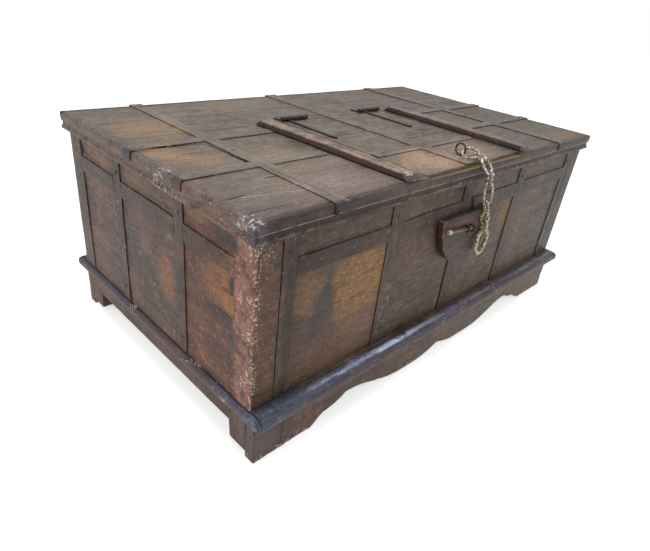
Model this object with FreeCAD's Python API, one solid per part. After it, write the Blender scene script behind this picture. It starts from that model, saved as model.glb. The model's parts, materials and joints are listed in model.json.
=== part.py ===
"""Old wooden sea chest: plank carcass on a shaped plinth, fixed top with a hinged hatch,
iron straps, and a hasp chain that hangs from the hatch to a staple on the lock block.

Millimetres. +Z is up, +X runs along the front to the right, the front faces -Y, and the
origin is on the floor at the middle of the chest. Each piece is one STEP file in parts/.
"""

import FreeCAD, Part
import math
import os

from FreeCAD import Vector

# ---------------------------------------------------------------- driving dimensions
top_length = 1300.0          # fixed top, edge to edge along X
top_depth = 752.0            # fixed top, edge to edge along Y
chest_height = 530.0         # floor to the upper face of the top
top_overhang = 14.5          # how far the top stands past the walls
top_edge_height = 41.0       # moulded edge strip of the top
top_board = 25.0             # top boards and hatch boards
edge_groove_height = 11.0    # groove run along the moulded edge strip
edge_groove_depth = 3.0
edge_groove_drop = 22.0      # upper face of the top down to the groove
edge_round = 2.5             # worn upper arris of the edge strip

wall = 22.0                  # wall planks
wall_joint_z = 282.0         # joint between the lower and the upper plank
seam = 1.0                   # gap between neighbouring boards

plinth_height = 92.0         # floor to the underside of the base moulding
moulding_height = 43.0
moulding_reach = 24.0        # how far the moulding stands past the plinth
moulding_round = 21.0        # bull-nose radius of the moulding
plinth_board = 28.0
plinth_front_proud = 16.5    # plinth front and back stand outside the walls
plinth_end_inset = 1.5       # plinth ends lie inside the wall faces
foot_length = 157.0          # flat sole of the front feet, along X
end_foot_length = 80.0       # feet of the end boards, along Y
end_foot_lift = 14.0         # soles of the end boards above the floor
end_rail_lift = 58.0         # lower edge of the end boards above the floor
back_rail_lift = 45.0        # lower edge of the back board above the floor
corner_block = 40.0          # glue blocks inside the plinth

# lower edge of the plinth front: share of the way from the sole to the middle, share of the cusp's height
foot_curve = ((0.029, 0.2), (0.067, 0.489), (0.126, 0.622), (0.178, 0.756))
cusp = (0.22, 1.0)
long_curve = ((0.314, 0.933), (0.421, 0.622), (0.528, 0.289), (0.639, 0.111))
lobe = ((0.723, 0.089), (0.813, 0.089), (0.883, 0.178), (0.954, 0.378))
cusp_height = 45.0
middle_height = 24.0

post = 40.0                  # corner posts inside the walls
ledger = 25.0                # battens that carry the floor boards
ledger_lift = 97.0           # underside of the floor ledgers
floor_board = 18.0
floor_board_count = 4

hatch_left = -196.0          # left edge of the hatch
hatch_right = 202.0
hatch_back = 100.0
hatch_side_gap = 2.0
hatch_front_gap = 1.5
hatch_rest_gap = 0.3         # hatch boards over the trimmers
hatch_board_count = 3
hatch_cleat = 40.0           # width of the cleats under the hatch
hatch_cleat_height = 22.0
hatch_cleat_inset = 46.0     # hatch side edge to the cleat
hatch_cleat_end_gap = 30.0
edge_relief = 5.0            # front edge strip is lower across the hatch
trimmer = 50.0               # battens under the hatch sides and the top boards
trimmer_height = 25.0
trimmer_cover = 25.0         # width of the trimmer under the top boards

rail_width = 42.0            # two worn battens beside the hatch
rail_height = 15.0
rail_round = 5.0
left_rail_x = -265.0
right_rail_x = 231.0
rail_front_inset = 2.0
rail_nose = 14.0             # sloping ends of the rails

strap = 3.0                  # iron strap thickness
strap_width = 34.0
tab_drop = 19.0              # strap ends turned down over the top's edge
top_strap_left_x = -462.0
top_strap_right_x = 438.0
centre_strap_x = -18.0
centre_strap_width = 38.0
cross_strap_back_y = 40.0
cross_strap_inset = 228.0    # front edge of the top to the first cross strap
cross_strap_width = 30.0
hatch_strap_inset = 160.0    # front edge of the top to the strap across the hatch
hatch_strap_width = 28.0

corner_leg = 54.0            # corner angle irons
front_strap_x = 270.0        # vertical straps left and right of the middle
front_strap_width = 42.0
outer_strap_gap = 1.5        # corner iron to the outer upright
front_centre_x = -4.0
end_strap_y = 127.0
girth_strap_drop = 109.0     # upper face of the top down to the strap that runs round the chest
girth_strap_width = 38.0

barrel_radius = 5.5          # hatch hinges
pin_radius = 2.5
pin_clearance = 0.05
barrel_lift = 0.3
leaf = 4.0
leaf_reach = 32.0
hinge_length = 90.0
left_hinge_x = -152.0
right_hinge_x = 146.0
knuckle_offset = 14.0        # moving knuckle starts this far from the hinge's left end
knuckle_length = 30.0
knuckle_gap = 0.3
tail_length = 180.0
tail_width = 10.0
tail_offset = 24.0           # middle of the tail from the hinge's left end
hinge_y = 106.0
leaf_gap = 0.8               # fixed leaf to the moving knuckle

block_half_width = 107.0     # shield-shaped lock block
block_shoulder = 98.0        # half width at shoulder height
block_foot = 58.0            # half width where the sides meet the lower curve
block_drop = 118.0           # upper face of the top down to the block
block_shoulder_drop = 48.0   # the block's upper edge down to each of these
block_foot_drop = 108.0
block_height = 122.0
block_thickness = 20.0
block_chamfer = 3.0

bolt_radius = 4.5            # sliding bolt on the block
bolt_knob_radius = 6.0
bolt_knob_length = 13.0
bolt_length = 122.0
bolt_x = 24.0                # right end of the bolt
bolt_drop = 41.0             # the block's upper edge down to the bolt's right end
bolt_slope = 7.0             # degrees, falls to the right
bolt_gap = 0.3               # bolt to block
keeper_wire = 4.5
keeper_gap = 0.5
keeper_from_end = (12.0, 38.0)

link_wire = 5.0              # chain
link_gap = 0.4               # bar to bar, where links hang in each other
wide_link = 14.0             # half width of the broad links on the top, middle of wire to middle of wire
hanging_link = 10.5          # half width of the broad links that hang
narrow_link = 6.0            # half width of the links between them
last_link = 7.0              # half width of the link that carries the end ring
chain_x = 17.0               # eye on the hatch
eye_inset = 72.0             # front edge of the top to the eye
chain_turn = 2.0             # degrees, the chain lies to the left of straight forward
lying_tilt = 38.0            # degrees, the first link lies on its left side
chain_lean = 15.5            # degrees, the hanging part runs to the right of straight down
chain_twist = 25.0           # degrees, broad hanging links are turned out of the front
lying_pitch = 40.0           # first link on the hatch, bar to bar
lying_lift = 12.0            # chain over the top, at the far end of the first link
edge_lift = 11.5             # chain over the top at the front edge
edge_setback = 8.0           # pivot at the front edge, behind the face of the top
edge_drop = 20.0             # first hanging pivot below the face of the top
edge_step = 9.0              # first hanging pivot, to the right of the one at the edge
hanging_pitches = (24.0, 60.0, 26.0, 28.0, 22.0)
chain_clear = 0.8            # hanging links to the lock block

eye_wire = 4.5               # eye that holds the chain to the hatch
eye_radius = 13.5
eye_shank = 3.0
eye_dip = 8.0                # degrees, the first link hangs this far down in the eye
end_ring_wire = 8.0          # long ring at the lower end
end_ring_half_width = 24.0
end_ring_length = 66.0
end_ring_lean = 6.0          # degrees
staple_wire = 5.0            # staple that the end ring goes over
staple_height = 9.0          # middle to middle of the legs
staple_reach = 14.0          # block face to the outside of the staple
staple_bite = 12.0           # legs driven into the wood
staple_below = 2.0           # staple under the last link
staple_offset = 8.0          # staple left of the middle of the ring

nail_radius = 4.0
nail_head = 1.5

past = 1.0                   # how far a cutting shape runs past the face it cuts
near = 0.1                   # heights and places this close count as the same

# ---------------------------------------------------------------- derived places
half_length = top_length / 2
half_depth = top_depth / 2
wall_x = half_length - top_overhang
wall_y = half_depth - top_overhang
inner_x = wall_x - wall
inner_y = wall_y - wall
top_z = chest_height
board_z = top_z - top_board
edge_z = top_z - top_edge_height
plinth_x = wall_x - plinth_end_inset
plinth_y = wall_y + plinth_front_proud
moulding_top = plinth_height + moulding_height
floor_z = ledger_lift + ledger
opening_left = hatch_left - hatch_side_gap
opening_right = hatch_right + hatch_side_gap
opening_back = hatch_back + hatch_side_gap
hatch_front = -wall_y + hatch_front_gap
hinge_z = top_z + barrel_radius + barrel_lift
block_face = -wall_y - block_thickness
chain_plane = block_face - chain_clear - last_link - link_wire / 2
chain_y = -half_depth + eye_inset
cross_strap_front_y = -half_depth + cross_strap_inset
hatch_strap_y = -half_depth + hatch_strap_inset
outer_strap_x = wall_x - corner_leg - outer_strap_gap - strap_width / 2
girth_strap_z = top_z - girth_strap_drop
block_top_z = top_z - block_drop


# ---------------------------------------------------------------- helpers
def box(x0, x1, y0, y1, z0, z1):
    """Box between two corners."""
    return Part.makeBox(x1 - x0, y1 - y0, z1 - z0, Vector(x0, y0, z0))


def tube(start, end, radius):
    """Round bar between two points."""
    along = end - start
    return Part.makeCylinder(radius, along.Length, start, along)


def mirror_x(shape):
    """Copy of a shape on the other end of the chest."""
    return shape.mirror(Vector(0, 0, 0), Vector(1, 0, 0))


def mirror_y(shape):
    """Copy of a shape on the other side of the chest."""
    return shape.mirror(Vector(0, 0, 0), Vector(0, 1, 0))


def four_corners(shape):
    """The shape at the front left corner and its three mirror images."""
    front = [shape, mirror_x(shape)]
    return front + [mirror_y(piece) for piece in front]


def frame_at(origin, along, normal):
    """Placement whose X axis is along and whose Z axis is normal."""
    side = normal.cross(along)
    return FreeCAD.Placement(origin, FreeCAD.Rotation(along, side, normal, "XZY"))


def save(name, pieces):
    """Write one node: a single solid, or a group of separate solids."""
    solids = [solid for piece in pieces for solid in piece.Solids]
    shape = solids[0] if len(solids) == 1 else Part.makeCompound(solids)
    shape.exportStep("parts/" + name + ".step")


# ---------------------------------------------------------------- carcass
def wall_planks(shape_at):
    """Lower and upper plank of one wall."""
    lower = shape_at(plinth_height, wall_joint_z)
    upper = shape_at(wall_joint_z + seam, board_z)
    return [lower, upper]


def build_walls():
    """Long walls run the full length and cover the ends of the short walls."""
    front = wall_planks(lambda z0, z1: box(-wall_x, wall_x, -wall_y, -inner_y, z0, z1))
    left = wall_planks(lambda z0, z1: box(-wall_x, -inner_x, -inner_y, inner_y, z0, z1))
    save("front_wall_planks", front)
    save("back_wall_planks", [mirror_y(plank) for plank in front])
    save("left_wall_planks", left)
    save("right_wall_planks", [mirror_x(plank) for plank in left])


def build_inside():
    """Floor boards on ledgers, and a post in each corner."""
    long_ledger = box(-inner_x, inner_x, -inner_y, -inner_y + ledger, ledger_lift, floor_z)
    short_ledger = box(-inner_x, -inner_x + ledger, -inner_y + ledger, inner_y - ledger, ledger_lift, floor_z)
    save("floor_ledgers", [long_ledger, mirror_y(long_ledger), short_ledger, mirror_x(short_ledger)])
    pitch = 2 * inner_y / floor_board_count
    boards = []
    for index in range(floor_board_count):
        y0 = -inner_y + index * pitch
        boards.append(box(-inner_x, inner_x, y0, y0 + pitch - seam, floor_z, floor_z + floor_board))
    save("floor_boards", boards)
    corner = box(-inner_x, -inner_x + post, -inner_y, -inner_y + post, floor_z + floor_board, board_z)
    save("corner_posts", four_corners(corner))


# ---------------------------------------------------------------- plinth
def shaped_half(sign):
    """Points of half of the front board's lower edge: from the sole up to the cusp, then to the middle."""
    foot = plinth_x - foot_length

    def points(shape):
        return [Vector(sign * foot * (1 - along), 0, rise * cusp_height) for along, rise in shape]

    first = points(((0, 0),) + foot_curve + (cusp,))
    second = points((cusp,) + long_curve + lobe + ((1, middle_height / cusp_height),))
    return first, second


def spline(points):
    """Smooth edge through points."""
    curve = Part.BSplineCurve()
    curve.interpolate(points)
    return curve.toShape()


def build_front_board():
    """Plinth front: soles at both ends, cusped curves between them, one lobe each side of the middle."""
    edges = []
    for sign in (1, -1):
        to_cusp, to_middle = shaped_half(sign)
        corner = Vector(sign * plinth_x, 0, 0)
        edges.append(Part.LineSegment(corner, to_cusp[0]).toShape())
        edges.append(spline(to_cusp))
        edges.append(spline(to_middle))
        edges.append(Part.LineSegment(corner, Vector(sign * plinth_x, 0, plinth_height)).toShape())
    upper = [Vector(sign * plinth_x, 0, plinth_height) for sign in (1, -1)]
    edges.append(Part.LineSegment(upper[0], upper[1]).toShape())
    outline = Part.Wire(Part.__sortEdges__(edges))
    board = Part.Face(outline).extrude(Vector(0, plinth_board, 0))
    board.translate(Vector(0, -plinth_y, 0))
    return board


def build_plinth():
    """Four boards and the glue blocks that hold them together."""
    save("plinth_front", [build_front_board()])
    inner = plinth_y - plinth_board
    back = box(-plinth_x, plinth_x, inner, plinth_y, 0, plinth_height)
    gap = plinth_x - foot_length
    back = back.cut(box(-gap, gap, inner - past, plinth_y + past, -past, back_rail_lift))
    save("plinth_back", [back])
    end = box(-plinth_x, -plinth_x + plinth_board, -inner, inner, end_foot_lift, plinth_height)
    gap = inner - (end_foot_length - plinth_board)
    end = end.cut(box(-plinth_x - past, -plinth_x + plinth_board + past, -gap, gap, 0, end_rail_lift))
    save("plinth_left", [end])
    save("plinth_right", [mirror_x(end)])
    x0 = -plinth_x + plinth_board
    block = box(x0, x0 + corner_block, -inner, -inner + corner_block, end_foot_lift, plinth_height)
    save("plinth_blocks", four_corners(block))


def mitred(ring, reach_x, reach_y, z0, z1):
    """Split a ring round the walls into front, back, left and right at mitred corners."""
    inner = [(-wall_x, -wall_y), (wall_x, -wall_y), (wall_x, wall_y), (-wall_x, wall_y)]
    scale_x = 2 * reach_x / wall_x
    scale_y = 2 * reach_y / wall_y
    outer = [(x * (1 + scale_x), y * (1 + scale_y)) for x, y in inner]
    pieces = {}
    for index, side in enumerate(("front", "right", "back", "left")):
        follow = (index + 1) % 4
        corners = [inner[index], inner[follow], outer[follow], outer[index], inner[index]]
        wedge = Part.Face(Part.makePolygon([Vector(x, y, z0 - past) for x, y in corners]))
        pieces[side] = ring.common(wedge.extrude(Vector(0, 0, z1 - z0 + 2 * past)))
    return pieces


def build_moulding():
    """Bull-nosed moulding on the plinth, mitred at the corners."""
    x = plinth_x + moulding_reach
    y = plinth_y + moulding_reach
    ring = box(-x, x, -y, y, plinth_height, moulding_top)
    level = [edge for edge in ring.Edges if abs(edge.Vertexes[0].Z - edge.Vertexes[1].Z) < near]
    ring = ring.makeFillet(min(moulding_round, 0.49 * moulding_height), level)
    ring = ring.cut(box(-wall_x, wall_x, -wall_y, wall_y, plinth_height - past, moulding_top + past))
    pieces = mitred(ring, x - wall_x, y - wall_y, plinth_height, moulding_top)
    for side, piece in pieces.items():
        save("base_moulding_" + side, [piece])


# ---------------------------------------------------------------- fixed top
def build_top_edge():
    """Moulded strip round the top boards, with a lower length across the hatch to lift the hatch by."""
    ring = box(-half_length, half_length, -half_depth, half_depth, edge_z, top_z)
    upper = [edge for edge in ring.Edges if min(vertex.Z for vertex in edge.Vertexes) > top_z - near]
    ring = ring.makeFillet(edge_round, upper)
    groove_top = top_z - edge_groove_drop
    groove_z = groove_top - edge_groove_height
    x = half_length - edge_groove_depth
    y = half_depth - edge_groove_depth
    groove = box(-top_length, top_length, -top_depth, top_depth, groove_z, groove_top)
    groove = groove.cut(box(-x, x, -y, y, groove_z - past, groove_top + past))
    ring = ring.cut(groove)
    ring = ring.cut(box(-wall_x, wall_x, -wall_y, wall_y, edge_z - past, top_z + past))
    relief = box(opening_left, opening_right, -half_depth - past, -wall_y + past,
                 top_z - edge_relief, top_z + past)
    ring = ring.cut(relief)
    pieces = mitred(ring, top_overhang, top_overhang, edge_z, top_z)
    across_hatch = box(opening_left, opening_right, -half_depth - past, -wall_y + past,
                       edge_z - past, top_z + past)
    for side, piece in pieces.items():
        if side == "front":
            save("top_edge_front", [piece.cut(across_hatch), piece.common(across_hatch)])
        else:
            save("top_edge_" + side, [piece])


def side_boards(x0, x1):
    """Three short top boards beside the hatch, with their joints under the cross straps."""
    joints = [-wall_y, cross_strap_front_y, cross_strap_back_y, opening_back]
    boards = []
    for y0, y1 in zip(joints, joints[1:]):
        boards.append(box(x0, x1, y0, y1 - seam, board_z, top_z))
    return boards


def build_top_boards():
    """Two long boards behind the hatch, three short boards on each side of it."""
    middle = (opening_back + wall_y) / 2
    rear = [box(-wall_x, wall_x, opening_back, middle - seam, board_z, top_z)]
    rear.append(box(-wall_x, wall_x, middle, wall_y, board_z, top_z))
    save("top_boards_rear", rear)
    save("top_boards_left", side_boards(-wall_x, opening_left))
    save("top_boards_right", side_boards(opening_right, wall_x))


def build_trimmers():
    """Battens under the top: one under each side of the hatch, a header under the hinges."""
    z0 = board_z - trimmer_height
    left_x = opening_left - trimmer_cover
    right_x = opening_right + trimmer_cover
    left = box(left_x, left_x + trimmer, -inner_y, inner_y, z0, board_z)
    right = box(right_x - trimmer, right_x, -inner_y, inner_y, z0, board_z)
    save("hatch_trimmers", [left, right])
    header = box(left_x + trimmer, right_x - trimmer, opening_back - trimmer_cover,
                 opening_back + trimmer - trimmer_cover, z0, board_z)
    save("hatch_header", [header])
    battens = []
    for x in (top_strap_left_x, top_strap_right_x):
        battens.append(box(x - trimmer / 2, x + trimmer / 2, -inner_y, inner_y, z0, board_z))
    save("top_battens", battens)


def build_rail(x):
    """Worn batten beside the hatch, with rounded arrises and sloping ends."""
    y0 = -half_depth + rail_front_inset
    y1 = hatch_back
    rail = box(x - rail_width / 2, x + rail_width / 2, y0, y1, top_z, top_z + rail_height)
    drop = rail_height / 2
    for y, way in ((y0, 1), (y1, -1)):
        corners = [(y - way, top_z + drop), (y, top_z + drop), (y + way * rail_nose, top_z + rail_height),
                   (y + way * rail_nose, top_z + rail_height + past), (y - way, top_z + rail_height + past)]
        points = [Vector(x - rail_width, py, pz) for py, pz in corners]
        end = Part.Face(Part.makePolygon(points + points[:1])).extrude(Vector(2 * rail_width, 0, 0))
        rail = rail.cut(end)
    long_edges = []
    for edge in rail.Edges:
        along = edge.Vertexes[0].Point - edge.Vertexes[1].Point
        level = abs(along.x) < near and abs(along.z) < near
        if level and edge.Vertexes[0].Z > top_z + rail_height - near:
            long_edges.append(edge)
    return rail.makeFillet(min(rail_round, 0.45 * rail_height), long_edges)


# ---------------------------------------------------------------- iron straps
def top_strap(x, width, y0, y1, front_tab, back_tab):
    """Strap on the top from y0 to y1, with its ends turned down over the edges."""
    plate = box(x - width / 2, x + width / 2, y0, y1, top_z, top_z + strap)
    if front_tab:
        tab = box(x - width / 2, x + width / 2, y0 - strap, y0, top_z - tab_drop, top_z + strap)
        plate = plate.fuse(tab)
    if back_tab:
        tab = box(x - width / 2, x + width / 2, y1, y1 + strap, top_z - tab_drop, top_z + strap)
        plate = plate.fuse(tab)
    worn = box(x - width, x + width, -half_depth, half_depth, top_z - tab_drop - past, top_z)
    return plate.cut(worn).removeSplitter()


def cross_strap(x0, x1, y, tab_side):
    """Strap across the top boards between two places, with one end turned down if it meets the edge."""
    y0 = y - cross_strap_width / 2
    y1 = y + cross_strap_width / 2
    plate = box(x0, x1, y0, y1, top_z, top_z + strap)
    if tab_side < 0:
        plate = plate.fuse(box(x0 - strap, x0, y0, y1, top_z - tab_drop, top_z + strap))
    if tab_side > 0:
        plate = plate.fuse(box(x1, x1 + strap, y0, y1, top_z - tab_drop, top_z + strap))
    return plate.removeSplitter()


def build_top_straps():
    """Three straps run front to back, short ones run across between them and the rails."""
    left = top_strap(top_strap_left_x, strap_width, -half_depth, half_depth, True, True)
    right = top_strap(top_strap_right_x, strap_width, -half_depth, half_depth, True, True)
    centre = top_strap(centre_strap_x, centre_strap_width, opening_back, half_depth, False, True)
    save("top_straps", [left, centre, right])
    left_spans = [(-half_length, top_strap_left_x - strap_width / 2, -1),
                  (top_strap_left_x + strap_width / 2, left_rail_x - rail_width / 2, 0)]
    right_spans = [(right_rail_x + rail_width / 2, top_strap_right_x - strap_width / 2, 0),
                   (top_strap_right_x + strap_width / 2, half_length, 1)]
    pieces = []
    for y in (cross_strap_front_y, cross_strap_back_y):
        for x0, x1, tab_side in left_spans + right_spans:
            pieces.append(cross_strap(x0, x1, y, tab_side))
    save("top_cross_straps", pieces)


def upright(x, width):
    """Vertical strap on the front wall, from the moulding to the top's edge strip."""
    return box(x - width / 2, x + width / 2, -wall_y - strap, -wall_y, moulding_top, edge_z)


def girth(x0, x1):
    """Level strap on the front wall."""
    z0 = girth_strap_z - girth_strap_width / 2
    return box(x0, x1, -wall_y - strap, -wall_y, z0, z0 + girth_strap_width)


def front_wall_straps():
    """Five uprights and the level straps between them."""
    middles = [-outer_strap_x, -front_strap_x, front_centre_x, front_strap_x, outer_strap_x]
    widths = [strap_width, front_strap_width, centre_strap_width, front_strap_width, strap_width]
    pieces = [upright(x, width) for x, width in zip(middles, widths)]
    for index in range(len(middles) - 1):
        x0 = middles[index] + widths[index] / 2
        x1 = middles[index + 1] - widths[index + 1] / 2
        pieces.append(girth(x0, x1))
    return pieces


def left_wall_straps():
    """Two uprights and three level straps on the left end."""
    x0 = -wall_x - strap
    z0 = girth_strap_z - girth_strap_width / 2
    pieces = []
    for y in (-end_strap_y, end_strap_y):
        pieces.append(box(x0, -wall_x, y - strap_width / 2, y + strap_width / 2, moulding_top, edge_z))
    stops = [-wall_y + corner_leg, -end_strap_y - strap_width / 2, -end_strap_y + strap_width / 2,
             end_strap_y - strap_width / 2, end_strap_y + strap_width / 2, wall_y - corner_leg]
    for y0, y1 in zip(stops[0::2], stops[1::2]):
        pieces.append(box(x0, -wall_x, y0, y1, z0, z0 + girth_strap_width))
    return pieces


def build_wall_straps():
    """Straps on the four walls and an angle iron on each corner."""
    front = front_wall_straps()
    save("front_straps", front)
    save("back_straps", [mirror_y(piece) for piece in front])
    left = left_wall_straps()
    save("left_end_straps", left)
    save("right_end_straps", [mirror_x(piece) for piece in left])
    corner = box(-wall_x - strap, -wall_x + corner_leg, -wall_y - strap, -wall_y + corner_leg,
                 moulding_top, edge_z)
    corner = corner.cut(box(-wall_x, wall_x, -wall_y, wall_y, moulding_top - past, edge_z + past))
    save("corner_angles", four_corners(corner))
    return front


# ---------------------------------------------------------------- hatch
def build_hatch(chain_eye):
    """Boards on two cleats, with the chain's eye driven into the front board."""
    z0 = board_z + hatch_rest_gap
    pitch = (hatch_back - hatch_front) / hatch_board_count
    boards = []
    for index in range(hatch_board_count):
        y0 = hatch_front + index * pitch
        board = box(hatch_left, hatch_right, y0, y0 + pitch - seam, z0, top_z)
        boards.append(board.cut(chain_eye))
    save("hatch_boards", boards)
    cleats = []
    y0 = hatch_front + hatch_cleat_end_gap
    y1 = hatch_back - hatch_cleat_end_gap - trimmer_cover
    for x in (hatch_left + hatch_cleat_inset, hatch_right - hatch_cleat_inset - hatch_cleat):
        cleats.append(box(x, x + hatch_cleat, y0, y1, z0 - hatch_cleat_height, z0))
    save("hatch_cleats", cleats)
    centre = box(centre_strap_x - centre_strap_width / 2, centre_strap_x + centre_strap_width / 2,
                 hatch_front, hatch_back, top_z, top_z + strap)
    y0 = hatch_strap_y - hatch_strap_width / 2
    left = box(hatch_left, centre_strap_x - centre_strap_width / 2, y0, y0 + hatch_strap_width,
               top_z, top_z + strap)
    right = box(centre_strap_x + centre_strap_width / 2, hatch_right, y0, y0 + hatch_strap_width,
                top_z, top_z + strap)
    save("hatch_straps", [centre, left, right])


def barrel(x0, x1, radius):
    """Round bar on the hinge line."""
    return tube(Vector(x0, hinge_y, hinge_z), Vector(x1, hinge_y, hinge_z), radius)


def build_hinge(x):
    """Fixed leaf, moving tail and pin of one hinge, x is its middle."""
    x0 = x - hinge_length / 2
    x1 = x + hinge_length / 2
    moving_x0 = x0 + knuckle_offset
    moving_x1 = moving_x0 + knuckle_length
    bore = barrel(x0 - past, x1 + past, pin_radius + pin_clearance)
    plate = box(x0, x1, hinge_y, hinge_y + leaf_reach, top_z, top_z + leaf)
    fixed = plate.fuse([barrel(x0, x1, barrel_radius)])
    fixed = fixed.cut(box(moving_x0 - knuckle_gap, moving_x1 + knuckle_gap, hinge_y - barrel_radius - past,
                          hinge_y + barrel_radius + leaf_gap, top_z - past, hinge_z + barrel_radius + past))
    fixed = fixed.cut(bore)
    middle = x0 + tail_offset
    tail = box(middle - tail_width / 2, middle + tail_width / 2, hinge_y - tail_length, hinge_y,
               top_z, top_z + leaf)
    tail = tail.fuse([barrel(moving_x0, moving_x1, barrel_radius)])
    tail = tail.cut(bore)
    return fixed.removeSplitter(), tail.removeSplitter(), barrel(x0, x1, pin_radius)


def build_hinges():
    """Both hinges: the pins are held by the fixed leaves."""
    hinges = [build_hinge(x) for x in (left_hinge_x, right_hinge_x)]
    save("hinge_leaves", [hinge[0] for hinge in hinges])
    save("hinge_tails", [hinge[1] for hinge in hinges])
    save("hinge_pins", [hinge[2] for hinge in hinges])


# ---------------------------------------------------------------- chain
def oval(length, half_width, wire):
    """Closed link about the origin, its length along X and its flat side up."""
    straight = length / 2 - half_width
    bend = Part.makeTorus(half_width, wire / 2, Vector(0, 0, 0), Vector(0, 0, 1), 0, 360, 180)
    far = bend.copy()
    far.rotate(Vector(0, 0, 0), Vector(0, 0, 1), -90)
    far.translate(Vector(straight, 0, 0))
    near = bend.copy()
    near.rotate(Vector(0, 0, 0), Vector(0, 0, 1), 90)
    near.translate(Vector(-straight, 0, 0))
    sides = []
    for side in (half_width, -half_width):
        sides.append(tube(Vector(-straight, side, 0), Vector(straight, side, 0), wire / 2))
    return far.fuse([near] + sides).removeSplitter()


def bar_link(start, end, bar, half_width, wire):
    """Link whose own end bars lie on start and end and run along bar."""
    along = (end - start).normalize()
    link = oval((end - start).Length, half_width, wire)
    link.Placement = frame_at((start + end) * 0.5, along, bar.cross(along) * -1)
    return link


def eye_link(start, end, bar, half_width, wire, start_wire, end_wire):
    """Link that goes round its neighbours' bars at start and end."""
    along = (end - start).normalize()
    near = start - along * ((wire + start_wire) / 2 + link_gap)
    far = end + along * ((wire + end_wire) / 2 + link_gap)
    link = oval((far - near).Length, half_width, wire)
    link.Placement = frame_at((near + far) * 0.5, along, bar)
    return link


def wire_staple(origin, across, outward, span, reach, bite, wire):
    """U of wire: legs span apart along across, bend reach out of the face, legs bite deep."""
    radius = span / 2
    bend = Part.makeTorus(radius, wire / 2, Vector(0, 0, 0), Vector(0, 0, 1), 0, 360, 180)
    height = reach - radius - wire / 2
    bend.translate(Vector(0, height, 0))
    legs = [tube(Vector(side, -bite, 0), Vector(side, height, 0), wire / 2) for side in (radius, -radius)]
    shape = bend.fuse(legs).removeSplitter()
    turn = FreeCAD.Rotation(across, outward, across.cross(outward), "XYZ")
    shape.Placement = FreeCAD.Placement(origin, turn)
    return shape


def square_to(bar, along):
    """Unit vector nearest to bar that stands square to along."""
    return (bar - along * bar.dot(along)).normalize()


def eye_bar(forward):
    """Level direction square to the line of the lying chain."""
    return forward.cross(Vector(0, 0, 1))


def chain_directions():
    """Way of the lying part, its bars, way of the hanging part, its bars, way of the end ring."""
    turn = math.radians(chain_turn)
    lean = math.radians(chain_lean)
    ring_lean = math.radians(end_ring_lean)
    forward = Vector(-math.sin(turn), -math.cos(turn), 0)
    lying_bar = FreeCAD.Rotation(forward, lying_tilt).multVec(eye_bar(forward))
    down = Vector(math.sin(lean), 0, -math.cos(lean))
    level_bar = square_to(Vector(-1, 0, 0), down)
    twisted_bar = FreeCAD.Rotation(down, chain_twist).multVec(level_bar)
    ring_down = Vector(math.sin(ring_lean), 0, -math.cos(ring_lean))
    return forward, lying_bar, down, twisted_bar, ring_down


def chain_route():
    """Pivots from the eye on the hatch to the end ring, and the bar that each pivot turns about.

    A positive turn about a bar lifts the loose part of the chain away from the chest.
    """
    forward, lying_bar, down, twisted_bar, ring_down = chain_directions()
    dip = math.radians(eye_dip)
    inside = eye_radius - (eye_wire + link_wire) / 2 - link_gap
    eye = eye_centre()
    pivots = [eye + forward * (inside * math.cos(dip)) - Vector(0, 0, inside * math.sin(dip))]
    second = pivots[0] + forward * lying_pitch
    pivots.append(Vector(second.x, second.y, top_z + lying_lift))
    reach = (pivots[1].y + half_depth - edge_setback) / -forward.y
    third = pivots[1] + forward * reach
    pivots.append(Vector(third.x, third.y, top_z + edge_lift))
    pivots.append(Vector(third.x + edge_step, chain_plane, top_z - edge_drop))
    for pitch in hanging_pitches:
        pivots.append(pivots[-1] + down * pitch)
    straight = Vector(-1, 0, 0)
    bars = [lying_bar, lying_bar, straight, straight]
    bars += [twisted_bar] * 4
    bars.append(square_to(straight, ring_down))
    return pivots, bars


def eye_centre():
    """Middle of the eye that stands on the hatch."""
    return Vector(chain_x, chain_y, top_z + eye_radius + eye_wire / 4)


def build_eye():
    """Eye with a shank driven into the hatch, standing in the line of the lying chain."""
    forward = chain_directions()[0]
    eye = Part.makeTorus(eye_radius, eye_wire / 2, eye_centre(), eye_bar(forward))
    foot = Vector(chain_x, chain_y, top_z - staple_bite)
    neck = Vector(chain_x, chain_y, top_z + eye_wire / 2)
    eye = eye.fuse([tube(foot, neck, eye_shank)]).removeSplitter()
    save("chain_eye", [eye])
    return eye


def build_chain():
    """Broad links turn about their own end bars, narrow links go round their neighbours' bars."""
    pivots, bars = chain_route()
    count = len(pivots) - 1
    for index in range(1, count + 1):
        start, end = pivots[index - 1], pivots[index]
        if index % 2 == 1:
            along = (end - start).normalize()
            half_width = wide_link if index < 4 else hanging_link
            link = bar_link(start, end, square_to(bars[index - 1], along), half_width, link_wire)
        else:
            along = (end - start).normalize()
            bar = square_to(bars[index - 1] + bars[index], along)
            last = index == count
            end_wire = end_ring_wire if last else link_wire
            half_width = last_link if last else narrow_link
            link = eye_link(start, end, bar, half_width, link_wire, link_wire, end_wire)
        save("chain_link_%d" % index, [link])
    ring_down = chain_directions()[4]
    end = pivots[-1] + ring_down * end_ring_length
    save("chain_end_ring", [bar_link(pivots[-1], end, bars[-1], end_ring_half_width, end_ring_wire)])


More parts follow.
